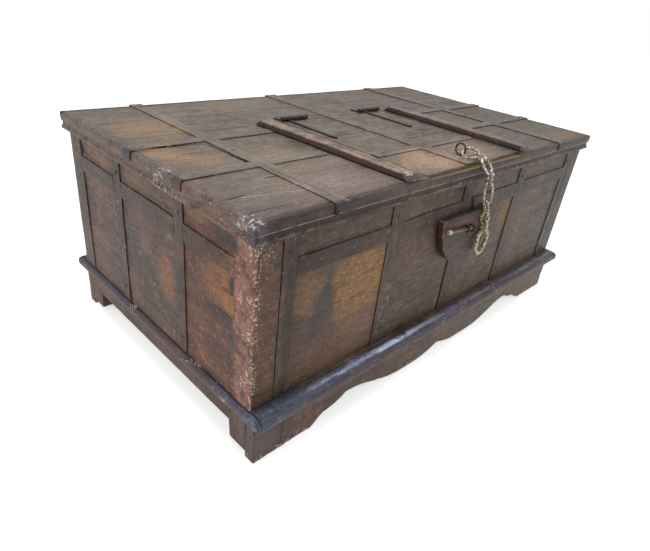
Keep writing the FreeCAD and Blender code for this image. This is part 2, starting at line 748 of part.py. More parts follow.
# ---------------------------------------------------------------- lock block
def build_lock(front_straps):
    """Shield-shaped block over the straps, bolt in its keepers, staple inside the end ring."""
    middle = front_centre_x
    face = -wall_y

    def spot(x, z):
        return Vector(middle + x, face, z)

    corner = spot(-block_half_width, block_top_z)
    other = spot(block_half_width, block_top_z)
    foot_z = block_top_z - block_foot_drop
    left_foot = spot(-block_foot, foot_z)
    right_foot = spot(block_foot, foot_z)
    shoulder_z = block_top_z - block_shoulder_drop
    edges = [Part.LineSegment(corner, other).toShape(),
             Part.Arc(other, spot(block_shoulder, shoulder_z), right_foot).toShape(),
             Part.Arc(right_foot, spot(0, block_top_z - block_height), left_foot).toShape(),
             Part.Arc(left_foot, spot(-block_shoulder, shoulder_z), corner).toShape()]
    block = Part.Face(Part.Wire(edges)).extrude(Vector(0, -block_thickness, 0))
    rim = [edge for edge in block.Edges if max(vertex.Y for vertex in edge.Vertexes) < block_face + near]
    block = block.makeChamfer(block_chamfer, rim)
    for piece in front_straps:
        block = block.cut(piece)

    slope = math.radians(bolt_slope)
    along = Vector(-math.cos(slope), 0, math.sin(slope))
    bolt_y = block_face - bolt_gap - bolt_knob_radius
    start = Vector(bolt_x, bolt_y, block_top_z - bolt_drop)
    end = start + along * bolt_length
    knob_start = end - along * bolt_knob_length
    bolt = tube(start, end, bolt_radius).fuse([tube(knob_start, end, bolt_knob_radius)])
    save("bolt", [bolt.removeSplitter()])

    outward = Vector(0, -1, 0)
    across = along.cross(outward)
    span = 2 * bolt_radius + keeper_wire + 2 * keeper_gap
    reach = bolt_gap + bolt_knob_radius + bolt_radius + keeper_gap + keeper_wire
    keepers = []
    for distance in keeper_from_end:
        place = start + along * distance
        root = Vector(place.x, block_face, place.z)
        keepers.append(wire_staple(root, across, outward, span, reach, staple_bite, keeper_wire))
    save("bolt_keepers", keepers)

    pivots = chain_route()[0]
    below = end_ring_wire / 2 + link_gap + link_wire + staple_below + (staple_wire + staple_height) / 2
    place = pivots[-1] + chain_directions()[4] * below
    root = Vector(place.x - staple_offset, block_face, place.z)
    hasp = wire_staple(root, Vector(0, 0, 1), outward, staple_height, staple_reach, staple_bite, staple_wire)
    save("hasp_staple", [hasp])
    for piece in keepers + [hasp]:
        block = block.cut(piece)
    save("lock_block", [block])


# ---------------------------------------------------------------- nails
def nail(place, outward):
    """Domed nail head on a strap."""
    return Part.makeCone(nail_radius, nail_radius / 2, nail_head, place, outward)


def top_nail(x, y, z):
    """Nail head on a face that looks up."""
    return nail(Vector(x, y, z), Vector(0, 0, 1))


def front_nail(x, z):
    """Nail head on a front strap."""
    return nail(Vector(x, -wall_y - strap, z), Vector(0, -1, 0))


def left_nail(y, z):
    """Nail head on a strap of the left end."""
    return nail(Vector(-wall_x - strap, y, z), Vector(-1, 0, 0))


def build_nails():
    """Nails in the straps on the walls, the top and the hatch."""
    inset = strap_width
    heads = []
    for x in (-outer_strap_x, -front_strap_x, front_centre_x, front_strap_x, outer_strap_x):
        heads.append(front_nail(x, edge_z - inset))
        heads.append(front_nail(x, moulding_top + inset))
    heads += [mirror_y(head) for head in heads]
    ends = []
    for y in (-end_strap_y, end_strap_y):
        ends.append(left_nail(y, edge_z - inset))
        ends.append(left_nail(y, moulding_top + inset))
    heads += ends + [mirror_x(head) for head in ends]
    save("wall_nails", heads)
    top_heads = []
    for x in (top_strap_left_x, top_strap_right_x):
        for y in (-half_depth + inset, (cross_strap_front_y + cross_strap_back_y) / 2, half_depth - inset):
            top_heads.append(top_nail(x, y, top_z + strap))
    top_heads.append(top_nail(centre_strap_x, half_depth - inset, top_z + strap))
    for y in (cross_strap_front_y, cross_strap_back_y):
        for x in (-half_length + inset, half_length - inset):
            top_heads.append(top_nail(x, y, top_z + strap))
    save("top_nails", top_heads)
    hatch_heads = []
    for y in (hatch_front + inset, hatch_strap_y, hatch_back - inset):
        hatch_heads.append(top_nail(centre_strap_x, y, top_z + strap))
    for x in (hatch_left + inset, hatch_right - inset):
        hatch_heads.append(top_nail(x, hatch_strap_y, top_z + strap))
    for x in (left_hinge_x, right_hinge_x):
        tip = x - hinge_length / 2 + tail_offset
        hatch_heads.append(top_nail(tip, hinge_y - tail_length + tail_width / 2, top_z + leaf))
    save("hatch_nails", hatch_heads)


def main():
    """Build every piece of the chest."""
    os.makedirs("parts", exist_ok=True)
    build_walls()
    build_inside()
    build_plinth()
    build_moulding()
    build_top_edge()
    build_top_boards()
    build_trimmers()
    save("rail_left", [build_rail(left_rail_x)])
    save("rail_right", [build_rail(right_rail_x)])
    build_top_straps()
    front_straps = build_wall_straps()
    build_chain()
    build_hatch(build_eye())
    build_hinges()
    build_lock(front_straps)
    build_nails()


main()
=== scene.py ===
"""Worn looks for the sea chest: boards, irons, hasp chain and a plain stage, laid out as an add-on."""

import json
import math

import bpy
import numpy as np
from mathutils import Matrix, Vector


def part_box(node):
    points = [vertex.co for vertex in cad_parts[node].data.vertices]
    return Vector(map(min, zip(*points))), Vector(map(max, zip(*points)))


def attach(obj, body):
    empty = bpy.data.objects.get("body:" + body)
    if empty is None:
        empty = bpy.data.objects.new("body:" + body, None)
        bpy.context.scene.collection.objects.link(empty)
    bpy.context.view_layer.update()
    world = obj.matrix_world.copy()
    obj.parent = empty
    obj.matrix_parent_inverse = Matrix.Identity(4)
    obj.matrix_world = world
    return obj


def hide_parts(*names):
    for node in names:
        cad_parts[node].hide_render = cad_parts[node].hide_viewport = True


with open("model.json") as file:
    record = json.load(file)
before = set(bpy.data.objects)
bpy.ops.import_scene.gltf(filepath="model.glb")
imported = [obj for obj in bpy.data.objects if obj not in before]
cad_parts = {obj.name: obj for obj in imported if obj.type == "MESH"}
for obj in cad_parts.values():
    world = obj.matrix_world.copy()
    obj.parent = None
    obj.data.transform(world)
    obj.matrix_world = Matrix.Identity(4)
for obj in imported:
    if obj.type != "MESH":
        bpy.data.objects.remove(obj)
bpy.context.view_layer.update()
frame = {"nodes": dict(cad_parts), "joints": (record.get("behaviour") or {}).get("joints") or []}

bl_info = {
    "name": "Sea Chest",
    "version": (1, 0, 0),
    "blender": (4, 5, 0),
    "location": "3D View > Sidebar > Sea Chest",
    "description": "Builds the worn boards, irons and chain of an old sea chest on its packed solids",
    "category": "Add Mesh",
}

MM = 0.001
UP = Vector((0.0, 0.0, 1.0))

# Outer faces of the walls and of the top's boards, and the iron plates nailed over them, in metres.
WALL_X, WALL_Y = 0.6355, 0.3615
TOP_Z = 0.530
PLATE = 0.003
PLATE_X, PLATE_Y, PLATE_Z = 0.637, 0.363, 0.5315

# Base moulding: how far it stands out of the long walls and of the short ones, and its underside.
MOULDING_SIDES, MOULDING_ENDS = 0.0405, 0.0105
PLINTH_TOP = 0.1020


# ---------------------------------------------------------------- colours
def tone(red, green, sheen_band):
    """Linear colour from the usual 0 to 255 steps."""
    steps = np.array((red, green, sheen_band)) / 255.0
    return tuple(np.where(steps <= 0.04045, steps / 12.92, ((steps + 0.055) / 1.055) ** 2.4))


# Near blacks, as linear colours.
GRIT = (0.010, 0.008, 0.007)
DIRT = (0.010, 0.008, 0.008)
DARK_SCRATCH = (0.010, 0.007, 0.006)
GAP = (0.006, 0.005, 0.005)
# colour of the painted shade along the straps' flanks
FLANK_SHADE = (0.006, 0.005, 0.006)
MITRE = (0.005, 0.004, 0.005)
WHITE = (1.0, 1.0, 1.0, 1.0)


# ---------------------------------------------------------------- shader sums
class Sock:
    """A shader socket that takes part in Python sums."""

    def __init__(self, nodes, socket):
        self.nodes = nodes
        self.socket = socket

    def math(self, operation, *values):
        """Math node on this socket's tree."""
        return self.nodes.node("ShaderNodeMath", {"operation": operation}, values)

    def __add__(self, other):
        return self.math("ADD", self, other)

    __radd__ = __add__

    def __sub__(self, other):
        return self.math("SUBTRACT", self, other)

    def __rsub__(self, other):
        return self.math("SUBTRACT", other, self)

    def __mul__(self, other):
        return self.math("MULTIPLY", self, other)

    __rmul__ = __mul__

    def __truediv__(self, other):
        return self.math("DIVIDE", self, other)

    def __rtruediv__(self, other):
        return self.math("DIVIDE", other, self)

    def __abs__(self):
        return self.math("ABSOLUTE", self)

    def least(self, other):
        """The smaller of the two."""
        return self.math("MINIMUM", self, other)

    def most(self, other):
        """The larger of the two."""
        return self.math("MAXIMUM", self, other)

    def rise(self, low, high):
        """0 below low, 1 above high, smooth between."""
        return self.nodes.node("ShaderNodeMapRange", {"interpolation_type": "SMOOTHSTEP"},
                               {"Value": self, "From Min": low, "From Max": high})

    def fall(self, low, high):
        """1 below low, 0 above high, smooth between."""
        return 1 - self.rise(low, high)


class Nodes:
    """Nodes of one material or world."""

    def __init__(self, owner):
        owner.use_nodes = True
        self.tree = owner.node_tree
        self.tree.nodes.clear()

    @staticmethod
    def find(sockets, key):
        """Socket with a number, an identifier or a name."""
        if isinstance(key, int):
            return sockets[key]
        for socket in sockets:
            if key in (socket.identifier, socket.name):
                return socket
        raise KeyError(key)

    def node(self, kind, settings=None, values=(), output=0):
        """New node: its settings first, then the values or links of its sockets.

        The result is one of its outputs, or None for a node that has none.
        """
        made = self.tree.nodes.new(kind)
        for key, value in (settings or {}).items():
            if key == "stops":
                self.set_stops(made.color_ramp, value)
            else:
                setattr(made, key, value)
        pairs = values.items() if isinstance(values, dict) else enumerate(values)
        for key, value in pairs:
            socket = self.find(made.inputs, key)
            if isinstance(value, Sock):
                self.tree.links.new(value.socket, socket)
            else:
                socket.default_value = value
        return Sock(self, self.find(made.outputs, output)) if len(made.outputs) else None

    @staticmethod
    def set_stops(ramp, stops):
        """Places and colours of a ramp, which starts with two of its own."""
        ramp.elements.remove(ramp.elements[1])
        ramp.elements[0].position = stops[0][0]
        ramp.elements[0].color = (*stops[0][1], 1.0)
        for place, colour in stops[1:]:
            ramp.elements.new(place).color = (*colour, 1.0)

    def seen(self):
        """1 for rays from the camera, from a gloss and through glass."""
        camera, gloss, glass = (self.node("ShaderNodeLightPath", output="Is %s Ray" % kind)
                                for kind in ("Camera", "Glossy", "Transmission"))
        return camera.most(gloss).most(glass)

    def send(self, shader, kind="ShaderNodeOutputMaterial"):
        """Link a shader to the output of the material or the world."""
        self.node(kind, values={"Surface": shader})


class Paint(Nodes):
    """One material, built from nodes."""

    def __init__(self, name):
        self.material = bpy.data.materials.new(name)
        super().__init__(self.material)
        self.where = self.node("ShaderNodeTexCoord", output="Object")
        self.x, self.y, self.z = self.split(self.where)

    def split(self, vector):
        """X, Y and Z of a vector."""
        made = self.node("ShaderNodeSeparateXYZ", values=(vector,))
        return [Sock(self, socket) for socket in made.socket.node.outputs]

    def vector(self, operation, *values, output=0):
        """Vector Math node."""
        return self.node("ShaderNodeVectorMath", {"operation": operation}, values, output)

    def scaled(self, vector, amount):
        """Vector times a number."""
        return self.node("ShaderNodeVectorMath", {"operation": "SCALE"}, {"Vector": vector, "Scale": amount})

    def combine(self, x, y, z):
        """Vector of three numbers."""
        return self.node("ShaderNodeCombineXYZ", values=(x, y, z))

    def facts(self, name, output):
        """What the mesh says about its own points."""
        return self.node("ShaderNodeAttribute", {"attribute_name": name}, output=output)

    def noise(self, where, scale, detail, roughness, distortion=0.0):
        """Noise from 0 to 1."""
        return self.node("ShaderNodeTexNoise", values={
            "Vector": where, "Scale": scale, "Detail": detail, "Roughness": roughness, "Distortion": distortion})

    def mix(self, factor, first, second, blend="MIX"):
        """Colour between two others, all of the first where the factor is 0."""
        def full(colour):
            return colour if isinstance(colour, Sock) else (*colour, 1.0)

        return self.node("ShaderNodeMix", {"data_type": "RGBA", "blend_type": blend},
                         {"Factor_Float": factor, "A_Color": full(first), "B_Color": full(second)}, "Result_Color")

    def ramp(self, factor, *stops):
        """Colour along stops of a place and a colour."""
        return self.node("ShaderNodeValToRGB", {"stops": stops}, (factor,))

    def finish(self, colour, roughness, height, depth=1.0, metallic=0.0, coat=None, shine=0.20):
        """Close the material: height goes through a Bump node, depth is in millimetres."""
        normal = self.node("ShaderNodeBump", values={"Strength": 1.0, "Distance": depth * MM, "Height": height})
        values = {"Base Color": colour, "Roughness": roughness, "Metallic": metallic, "Normal": normal,
                  "Specular IOR Level": shine}
        if coat is not None:
            values["Coat Weight"] = coat
        self.send(self.node("ShaderNodeBsdfPrincipled", values=values))
        return self.material


class Timber(Paint):
    """Paint that knows the board under it: the way of its grain, its arrises and its flanks."""

    def __init__(self, name):
        super().__init__(name)
        grain = self.facts("grain", "Vector")
        self.seed = self.facts("seed", "Fac")
        self.arris = self.facts("arris", "Fac")
        self.flank = self.facts("flank", "Fac")
        self.upright = abs(self.split(grain)[2])
        self.moved = self.vector("ADD", self.where, self.combine(self.seed * 3.1, self.seed * 7.7, self.seed * 5.3))
        run = self.vector("DOT_PRODUCT", self.moved, grain, output="Value")
        self.along = self.vector("SUBTRACT", self.moved, self.scaled(grain, run * 0.90))
        # along the grain, and with each board its own
        self.streak = self.noise(self.along, 46.0, 5.0, 0.70, 0.8)
        self.fibre = self.noise(self.along, 200.0, 4.0, 0.75)
        self.speck = self.noise(self.moved, 80.0, 5.0, 0.75)
        # across all boards, from fine grit to wide clouds
        self.grit = self.noise(self.where, 185.0, 4.0, 0.80)
        self.cloud = self.noise(self.where, 4.6, 5.0, 0.62, 0.5)
        self.drift = self.noise(self.vector("ADD", self.where, (3.3, 1.7, 2.9)), 9.0, 6.0, 0.70, 0.6)
        self.dapple = self.noise(self.vector("ADD", self.where, (7.1, 5.3, 1.2)), 19.0, 6.0, 0.72, 0.3)
        self.fleck = self.noise(self.vector("ADD", self.where, (1.9, 8.2, 4.4)), 55.0, 5.0, 0.74, 0.2)
        self.torn = self.dapple * 0.55 + self.fleck * 0.45 - 0.5
        self.crack = self.noise(self.along, 55.0, 2.0, 0.5, 0.3).rise(0.685, 0.71)

    def mottled(self, base):
        """Old stain round a base colour: clouds, strokes along the grain, dapples and flecks."""
        field = self.cloud * 0.28 + self.streak * 0.24 + self.dapple * 0.24 + self.fleck * 0.24
        field = (field - 0.5) * 1.7 + 0.5
        stops = [(place, tuple(share * part for part in base))
                 for place, share in ((0.30, 0.22), (0.42, 0.62), (0.54, 1.05), (0.70, 1.75))]
        return self.ramp(field, *stops)

    def patches(self, colour, field, low, high, amount, shade):
        """Second colour where a field is high, none of it below low."""
        return self.mix(field.rise(low, high) * amount, colour, shade)

    def stained(self, base, warm, cool, amount):
        """Mottled stain with warm and cool touches, which are given in 0 to 255 steps."""
        colour = self.mottled(base)
        colour = self.patches(colour, self.drift * 0.55 + self.fleck * 0.45, 0.515, 0.60, amount, tone(*warm))
        return self.patches(colour, 1 - self.dapple * 0.5 - self.fleck * 0.5, 0.525, 0.61, amount, tone(*cool))

    def spot(self, middle, size, ragged=1.6, edge=0.5):
        """Patch with torn edges: 1 inside, 0 outside. The size of None means no end that way."""
        reach = 0
        for axis, centre, half in zip((self.x, self.y, self.z), middle, size):
            if half is not None:
                part = (axis - centre) / half
                reach = part * part + reach
        reach = reach.math("SQRT", reach)
        return (reach + self.torn * (2 * ragged)).fall(1 - edge, 1 + edge)

    def spots(self, colour, places, ragged=1.6, edge=0.5):
        """Torn patches, one for each middle, size, amount and colour in 0 to 255 steps."""
        for middle, size, amount, shade in places:
            colour = self.mix(self.spot(middle, size, ragged, edge) * amount, colour, tone(*shade))
        return colour

    def line(self, start, end, width, axes="xy"):
        """Thin mark between two places on a face; axes are the two ways that span the face."""
        ways = {"x": self.x, "y": self.y, "z": self.z}
        a, b = ways[axes[0]], ways[axes[1]]
        length = math.hypot(end[0] - start[0], end[1] - start[1])
        ux, uy = (end[0] - start[0]) / length, (end[1] - start[1]) / length
        run = (a - start[0]) * ux + (b - start[1]) * uy
        off = abs((a - start[0]) * uy - (b - start[1]) * ux + (self.fleck - 0.5) * (width * 3))
        inside = run.rise(0.0, 0.004) * run.fall(length - 0.004, length)
        return off.fall(width * 0.4, width * 1.1) * inside

    def gritty(self, colour, amount):
        """Fine grain and grit that darken and lighten the colour."""
        fine = self.grit * 0.6 + self.fibre * 0.4
        colour = self.mix(fine.rise(0.515, 0.62) * amount, colour, GRIT)
        light = self.mix(1.0, colour, (1.9, 1.84, 1.76), "MULTIPLY")
        return self.mix(fine.fall(0.385, 0.475) * amount * 1.5, colour, light)

    def grimy(self, colour, reach, strength):
        """Dark dirt in the joints round the board, thick in some places and thin in others."""
        near = (self.arris + (self.speck - 0.5) * 0.010).fall(0.0, reach)
        return self.mix(near * (self.drift.rise(0.44, 0.58) * 0.65 + 0.35) * strength, colour, DIRT)

    def rubbed(self, colour, bare, reach, amount):
        """Arrises worn through to what lies under the finish."""
        patchy = self.fleck.rise(1 - amount - 0.06, 1 - amount + 0.06)
        near = (self.arris + (self.speck - 0.5) * 0.006).fall(reach * 0.2, reach)
        return self.mix(near * patchy, colour, bare)

    def cracked(self, colour, amount=0.8):
        """Open cracks along the grain."""
        return self.mix(self.crack * amount, colour, GRIT)

    def flank_shade(self, colour, strength):
        """Painted shade along the flank of a strap, broken in patches."""
        broken = self.dapple.rise(0.42, 0.52) * 0.75 + 0.25
        return self.mix(self.flank * broken * strength, colour, FLANK_SHADE)

    def flakes(self, colour, where, amount, scale=110.0, shade=tone(206, 198, 188)):
        """Small pale chips where the mask is high; returns the colour and the chips."""
        chips = (self.noise(self.where, scale, 4.0, 0.8) + where * 0.17).rise(0.66, 0.70)
        chips = chips * where.rise(0.02, 0.25)
        return self.mix(chips * amount, colour, shade), chips

    def relief(self):
        """Height of the surface, in about millimetres."""
        pits = self.speck.rise(0.60, 0.74)
        fine = self.streak * 0.8 + self.fibre * 0.5 + self.grit * 0.9
        return fine - self.crack * 1.2 - pits * 0.7 + self.dapple * 1.2 + self.fleck * 0.8


# ---------------------------------------------------------------- finishes of the chest
def hue(name):
    """Colour that the settings hold."""
    return tuple(getattr(bpy.context.scene.sea_chest, name))


def on_left(p):
    """1 on the left end of the chest, 0 elsewhere."""
    return p.x.fall(-0.6345, -0.6335)


def on_right(p):
    """1 on the right end of the chest, 0 elsewhere."""
    return p.x.rise(0.6335, 0.6345)


# Painted shadow lines along the straps' edges, and a few open cracks, on the top: start, end, width.
TOP_CRACKS_AND_SHADOWS = (
    ((-0.651, 0.032), (-0.488, 0.016), 0.0026), ((-0.486, 0.004), (-0.480, -0.135), 0.0040),
    ((-0.651, -0.175), (-0.641, -0.254), 0.0020), ((-0.047, 0.092), (-0.017, -0.236), 0.0020),
    ((0.462, 0.329), (0.442, -0.230), 0.0022), ((0.473, 0.037), (0.614, 0.064), 0.0020),
    ((0.469, -0.161), (0.612, -0.155), 0.0022), ((-0.472, -0.182), (-0.457, -0.334), 0.0018),
)


def top_field(p):
    """Colour of the boards and straps of the top: taupe with ochre rubs, slate grime and mauve wear."""
    colour = p.stained(hue("top_colour"), (134, 110, 86), (90, 89, 90), 0.38)
    colour = p.patches(colour, p.dapple, 0.55, 0.64, 0.35, tone(124, 98, 98))
    colour = p.spots(colour, (
        ((-0.54, 0.155, 0), (0.065, 0.085, None), 0.50, (154, 126, 92)),
        ((-0.60, -0.020, 0), (0.040, 0.040, None), 0.55, (158, 124, 90)),
        ((-0.545, -0.085, 0), (0.040, 0.040, None), 0.50, (152, 122, 90)),
        ((-0.40, -0.105, 0), (0.055, 0.040, None), 0.40, (146, 120, 92)),
        ((-0.22, 0.300, 0), (0.090, 0.060, None), 0.35, (138, 120, 96)),
        ((-0.09, -0.300, 0), (0.075, 0.060, None), 0.65, (178, 146, 122)),
        ((0.09, -0.290, 0), (0.060, 0.060, None), 0.45, (168, 138, 124)),
        ((0.53, -0.330, 0), (0.050, 0.040, None), 0.50, (150, 108, 82)),
        ((-0.42, -0.300, 0), (0.110, 0.060, None), 0.45, (146, 122, 118)),
        ((-0.60, -0.240, 0), (0.045, 0.110, None), 0.30, (126, 112, 112)),
    ), 3.2, 0.7)
    upper = p.z.rise(0.527, 0.529)
    colour = p.mix(p.x.rise(0.05, 0.50) * 0.35, colour, tone(82, 72, 66))
    # painted shadow lines at the straps' edges, and the cracks
    for start, end, width in TOP_CRACKS_AND_SHADOWS:
        colour = p.mix(p.line(start, end, width) * upper * 0.95, colour, GAP)
    # painted shadow line across the hatch, along its cross strap
    colour = p.mix(p.line((-0.179, -0.213), (0.125, -0.211), 0.007) * upper * 0.6, colour, tone(58, 54, 56))
    return p.mix(p.line((-0.605, -0.274), (-0.466, -0.301), 0.0011) * 0.6, colour, tone(196, 182, 170))


def left_edge(p):
    """1 at the left edge of the top, 0 from 40 mm inside it."""
    return p.x.fall(-0.640, -0.600)


def top_wood():
    """Boards of the top and the hatch."""
    p = Timber("top_boards_finish")
    colour = top_field(p)
    worn = left_edge(p) * p.y.fall(-0.10, 0.04)
    colour = p.patches(colour, worn + p.torn * 2.2, 0.60, 0.90, 0.45, tone(126, 96, 88))
    colour = p.patches(colour, worn + p.torn * 3.2, 0.90, 1.10, 0.50, tone(88, 98, 112))
    thick = worn * p.drift.rise(0.46, 0.60) * 0.6 + p.drift.rise(0.55, 0.75) * 0.25
    colour, chips = p.flakes(p.gritty(colour, 0.56), thick, 0.75)
    rear = p.y.rise(0.060, 0.070).most(p.x.fall(-0.48, -0.47))
    colour = p.grimy(p.cracked(colour, 0.7), 0.0045, 0.70 - rear * 0.42)
    rough = 0.40 + p.cloud * 0.2 + p.speck * 0.1
    return p.finish(colour, rough, p.relief() - chips * 0.8, 1.1)


def edge_field(p):
    """Colour of the strip round the top: blue-black with red-brown where it is rubbed."""
    colour = p.stained(hue("edge_colour"), (96, 78, 68), (58, 56, 60), 0.4)
    left = left_edge(p)
    colour = p.patches(colour, left + p.torn * 3.0, 0.60, 1.00, 0.60, tone(122, 100, 88))
    upper = p.z.rise(0.520, 0.527) * left
    colour = p.patches(colour, upper + p.torn * 3.0, 0.60, 1.00, 0.60, tone(84, 84, 88))
    near = p.y.fall(-0.16, -0.02) * left
    colour = p.patches(colour, near + p.torn * 3.0, 0.85, 1.15, 0.60, tone(126, 96, 88))
    colour = p.patches(colour, left - p.torn * 3.4, 1.10, 1.30, 0.65, tone(62, 58, 66))
    corner = p.x.fall(-0.632, -0.605) * p.y.fall(-0.372, -0.30)
    return p.patches(colour, corner + p.torn * 2.4, 0.50, 0.85, 0.65, tone(68, 74, 86))


def edge_wood():
    """Moulded strip round the top: near black, rubbed at its arrises, with painted shade in its groove and painted
    highlights on its lips.
    """
    p = Timber("edge_strip_finish")
    colour = p.gritty(edge_field(p), 0.5)
    left = left_edge(p)
    near = left * p.y.fall(-0.10, 0.10)
    colour = p.rubbed(colour, tone(140, 130, 122), 0.0022, 0.40)
    # painted shade in its groove, between painted highlights along its lips
    face = p.y.fall(-0.3720, -0.3700).most(p.x.rise(0.6440, 0.6460)).most(p.y.rise(0.3700, 0.3720))
    groove_shade = p.z.rise(0.4975, 0.4995) * p.z.fall(0.5060, 0.5080)
    colour = p.mix(groove_shade * face * (0.15 + p.dapple.rise(0.42, 0.56) * 0.35), colour, tone(34, 29, 28))
    lit = abs(p.z - 0.5088 + (p.dapple - 0.5) * 0.004).fall(0.0003, 0.0014) * face
    colour = p.mix(lit * p.drift.rise(0.42, 0.54) * 0.85, colour, tone(172, 160, 150))
    lower_lip_highlight = abs(p.z - 0.4945 + (p.fleck - 0.5) * 0.004).fall(0.0003, 0.0012) * face
    colour = p.mix(lower_lip_highlight * p.dapple.rise(0.50, 0.58) * 0.6, colour, tone(150, 138, 128))
    # the low part before the hatch: a painted shadow line under a golden lip, both weaker to the left
    recess = p.x.rise(-0.198, -0.180) * p.x.fall(0.190, 0.204) * p.y.fall(-0.362, -0.358)
    recess = recess * (0.40 + p.x.rise(-0.19, -0.05) * 0.60)
    shadow = p.z.rise(0.5185, 0.5200) * p.z.fall(0.5230, 0.5245) * (p.dapple.rise(0.40, 0.56) * 0.4 + 0.5)
    colour = p.mix(recess * shadow, colour, tone(40, 33, 32))
    gold = p.z.rise(0.5232, 0.5250) * (p.streak.rise(0.40, 0.54) * 0.50 + 0.38)
    colour = p.mix(recess * gold, colour, tone(118, 92, 58))
    thick = near * (p.drift.rise(0.46, 0.60) * 0.75 + 0.08) + left * 0.16
    colour, chips = p.flakes(colour, thick, 0.85, 150.0)
    rough = 0.34 + p.speck * 0.25
    return p.finish(colour, rough, p.relief() - chips * 0.7, 1.3)


def front_field(p):
    """Colour of the long walls and their straps: dull brown, gold in the first panel, grey to the right."""
    colour = p.stained(hue("front_colour"), (118, 84, 60), (66, 62, 64), 0.36)
    faded = p.stained(hue("front_right_colour"), (116, 98, 80), (80, 76, 76), 0.26)
    colour = p.mix(p.x.rise(-0.20, 0.45) * 0.75, colour, faded)
    # the first panel: gold at its upper corners, a dark wedge that hangs from its head
    front = p.y.fall(-0.355, -0.345)
    panel = front * p.z.fall(0.394, 0.405) * p.x.fall(-0.290, -0.278)
    small, large = (p.spot((x, 0, z), (wide, None, high), 1.2)
                    for x, z, wide, high in ((-0.505, 0.350, 0.038, 0.050), (-0.365, 0.325, 0.088, 0.090)))
    glow = (small * 0.42).most(large)
    broken = p.streak.rise(0.42, 0.54) * 0.35 + p.fleck.rise(0.43, 0.54) * 0.40 + 0.25
    colour = p.mix(glow * panel * broken * 0.95, colour, hue("glow_colour"))
    colour = p.mix(p.spot((-0.40, 0, 0.20), (0.16, None, 0.07)) * panel * 0.35, colour, tone(116, 84, 70))
    drop = 0.392 - p.z
    wedge = (abs(p.x + 0.452 + drop * 0.12) - drop * 0.26 + p.torn * 0.045).fall(-0.006, 0.014)
    colour = p.mix(wedge * p.z.rise(0.20, 0.30) * p.z.fall(0.380, 0.395) * panel * 0.90, colour, tone(66, 61, 61))
    corner = p.stained(tone(106, 78, 62), (140, 92, 56), (70, 60, 58), 0.5)
    colour = p.mix(p.x.fall(-0.592, -0.578) * front * 0.75, colour, corner)
    return p.mix(p.spot((0.23, 0, 0.35), (0.030, None, 0.05)) * front * 0.5, colour, tone(134, 102, 70))


def corner_rub(p):
    """1 on the near corner's left face, fading into the panel beside it."""
    return p.y.fall(-0.322, -0.288) * p.x.fall(-0.630, -0.620)


def end_field(p):
    """Colour of the short walls and their straps: mauve brown, ochre above, rich orange at the near panel."""
    colour = p.stained(hue("end_colour"), (132, 96, 74), (80, 74, 80), 0.42)
    near = p.stained(hue("near_end_colour"), (160, 104, 66), (84, 66, 72), 0.5)
    colour = p.mix(p.y.fall(-0.150, -0.135) * 0.75, colour, near)
    colour = p.spots(colour, (
        ((0, -0.262, 0.372), (None, 0.050, 0.045), 0.48, (156, 104, 66)),
        ((0, -0.285, 0.335), (None, 0.022, 0.018), 0.65, (166, 112, 70)),
        ((0, -0.075, 0.288), (None, 0.035, 0.045), 0.65, (146, 98, 72)),
        ((0, 0.020, 0.330), (None, 0.026, 0.024), 0.50, (138, 98, 80)),
        ((0, 0.065, 0.300), (None, 0.045, 0.050), 0.60, (70, 66, 74)),
        ((0, -0.108, 0.300), (None, 0.020, 0.055), 0.55, (66, 60, 66)),
        ((0, -0.302, 0.381), (None, 0.012, 0.019), 0.95, (40, 39, 48)),
        ((0, -0.262, 0.304), (None, 0.038, 0.014), 0.85, (56, 50, 56)),
        ((0, -0.300, 0.268), (None, 0.024, 0.016), 0.75, (58, 56, 64)),
        ((0, -0.288, 0.462), (None, 0.040, 0.013), 0.80, (56, 50, 54)),
        ((0, 0.215, 0.465), (None, 0.070, 0.014), 0.42, (136, 106, 76)),
        ((0, 0.045, 0.466), (None, 0.045, 0.014), 0.42, (134, 104, 74)),
        ((0, -0.185, 0.474), (None, 0.040, 0.013), 0.48, (146, 110, 76)),
    ))
    rub = corner_rub(p)
    colour = p.patches(colour, rub + p.torn * 3.4, 0.60, 1.00, 0.75, tone(152, 104, 92))
    colour = p.patches(colour, rub - p.torn * 4.4, 1.10, 1.30, 0.65, tone(92, 62, 56))
    return p.patches(colour, rub + p.torn * 5.0, 1.30, 1.50, 0.55, tone(176, 128, 104))


def scratches(p, colour, amount):
    """Long thin scratches that cross the grain, pale and dark."""
    slant = (0.55, 0.55, 0.80)
    turned = p.vector("DOT_PRODUCT", p.where, slant, output="Value")
    thin = p.vector("SUBTRACT", p.where, p.scaled(slant, turned * 0.93))
    field = p.noise(thin, 120.0, 2.0, 0.5)
    colour = p.mix(field.rise(0.685, 0.70) * amount, colour, tone(164, 142, 124))
    return p.mix(field.fall(0.300, 0.315) * amount, colour, DARK_SCRATCH)


def wall_colour(p):
    """Stain of the walls, by the side of the chest that they face."""
    return p.mix(on_left(p).most(on_right(p)), front_field(p), end_field(p))


def cream_chips(p, colour):
    """Cream chips down the near corner, thick at its arris and thin on its faces."""
    x_way, y_way = p.x + (WALL_X + PLATE), p.y + (WALL_Y + PLATE)
    away = x_way * x_way + y_way * y_way
    away = away.math("SQRT", away)
    on_faces = corner_rub(p) * (p.dapple.rise(0.42, 0.56) * 0.42 + away.fall(0.010, 0.070) * 0.34 + 0.12)
    high = p.z.rise(0.41, 0.45) * p.x.fall(-0.600, -0.580) * p.y.fall(-0.33, -0.30)
    mask = away.fall(0.001, 0.013).most(on_faces).most(high * 0.58)
    return p.flakes(colour, mask, 0.9, 170.0, tone(222, 196, 176))


def front_wood():
    """Long walls."""
    p = Timber("long_wall_finish")
    colour = scratches(p, p.gritty(front_field(p), 0.60), 0.3)
    colour = p.cracked(colour, 0.5)
    rough = 0.32 + p.cloud * 0.2 + p.speck * 0.12
    return p.finish(colour, rough, p.relief(), 1.0)


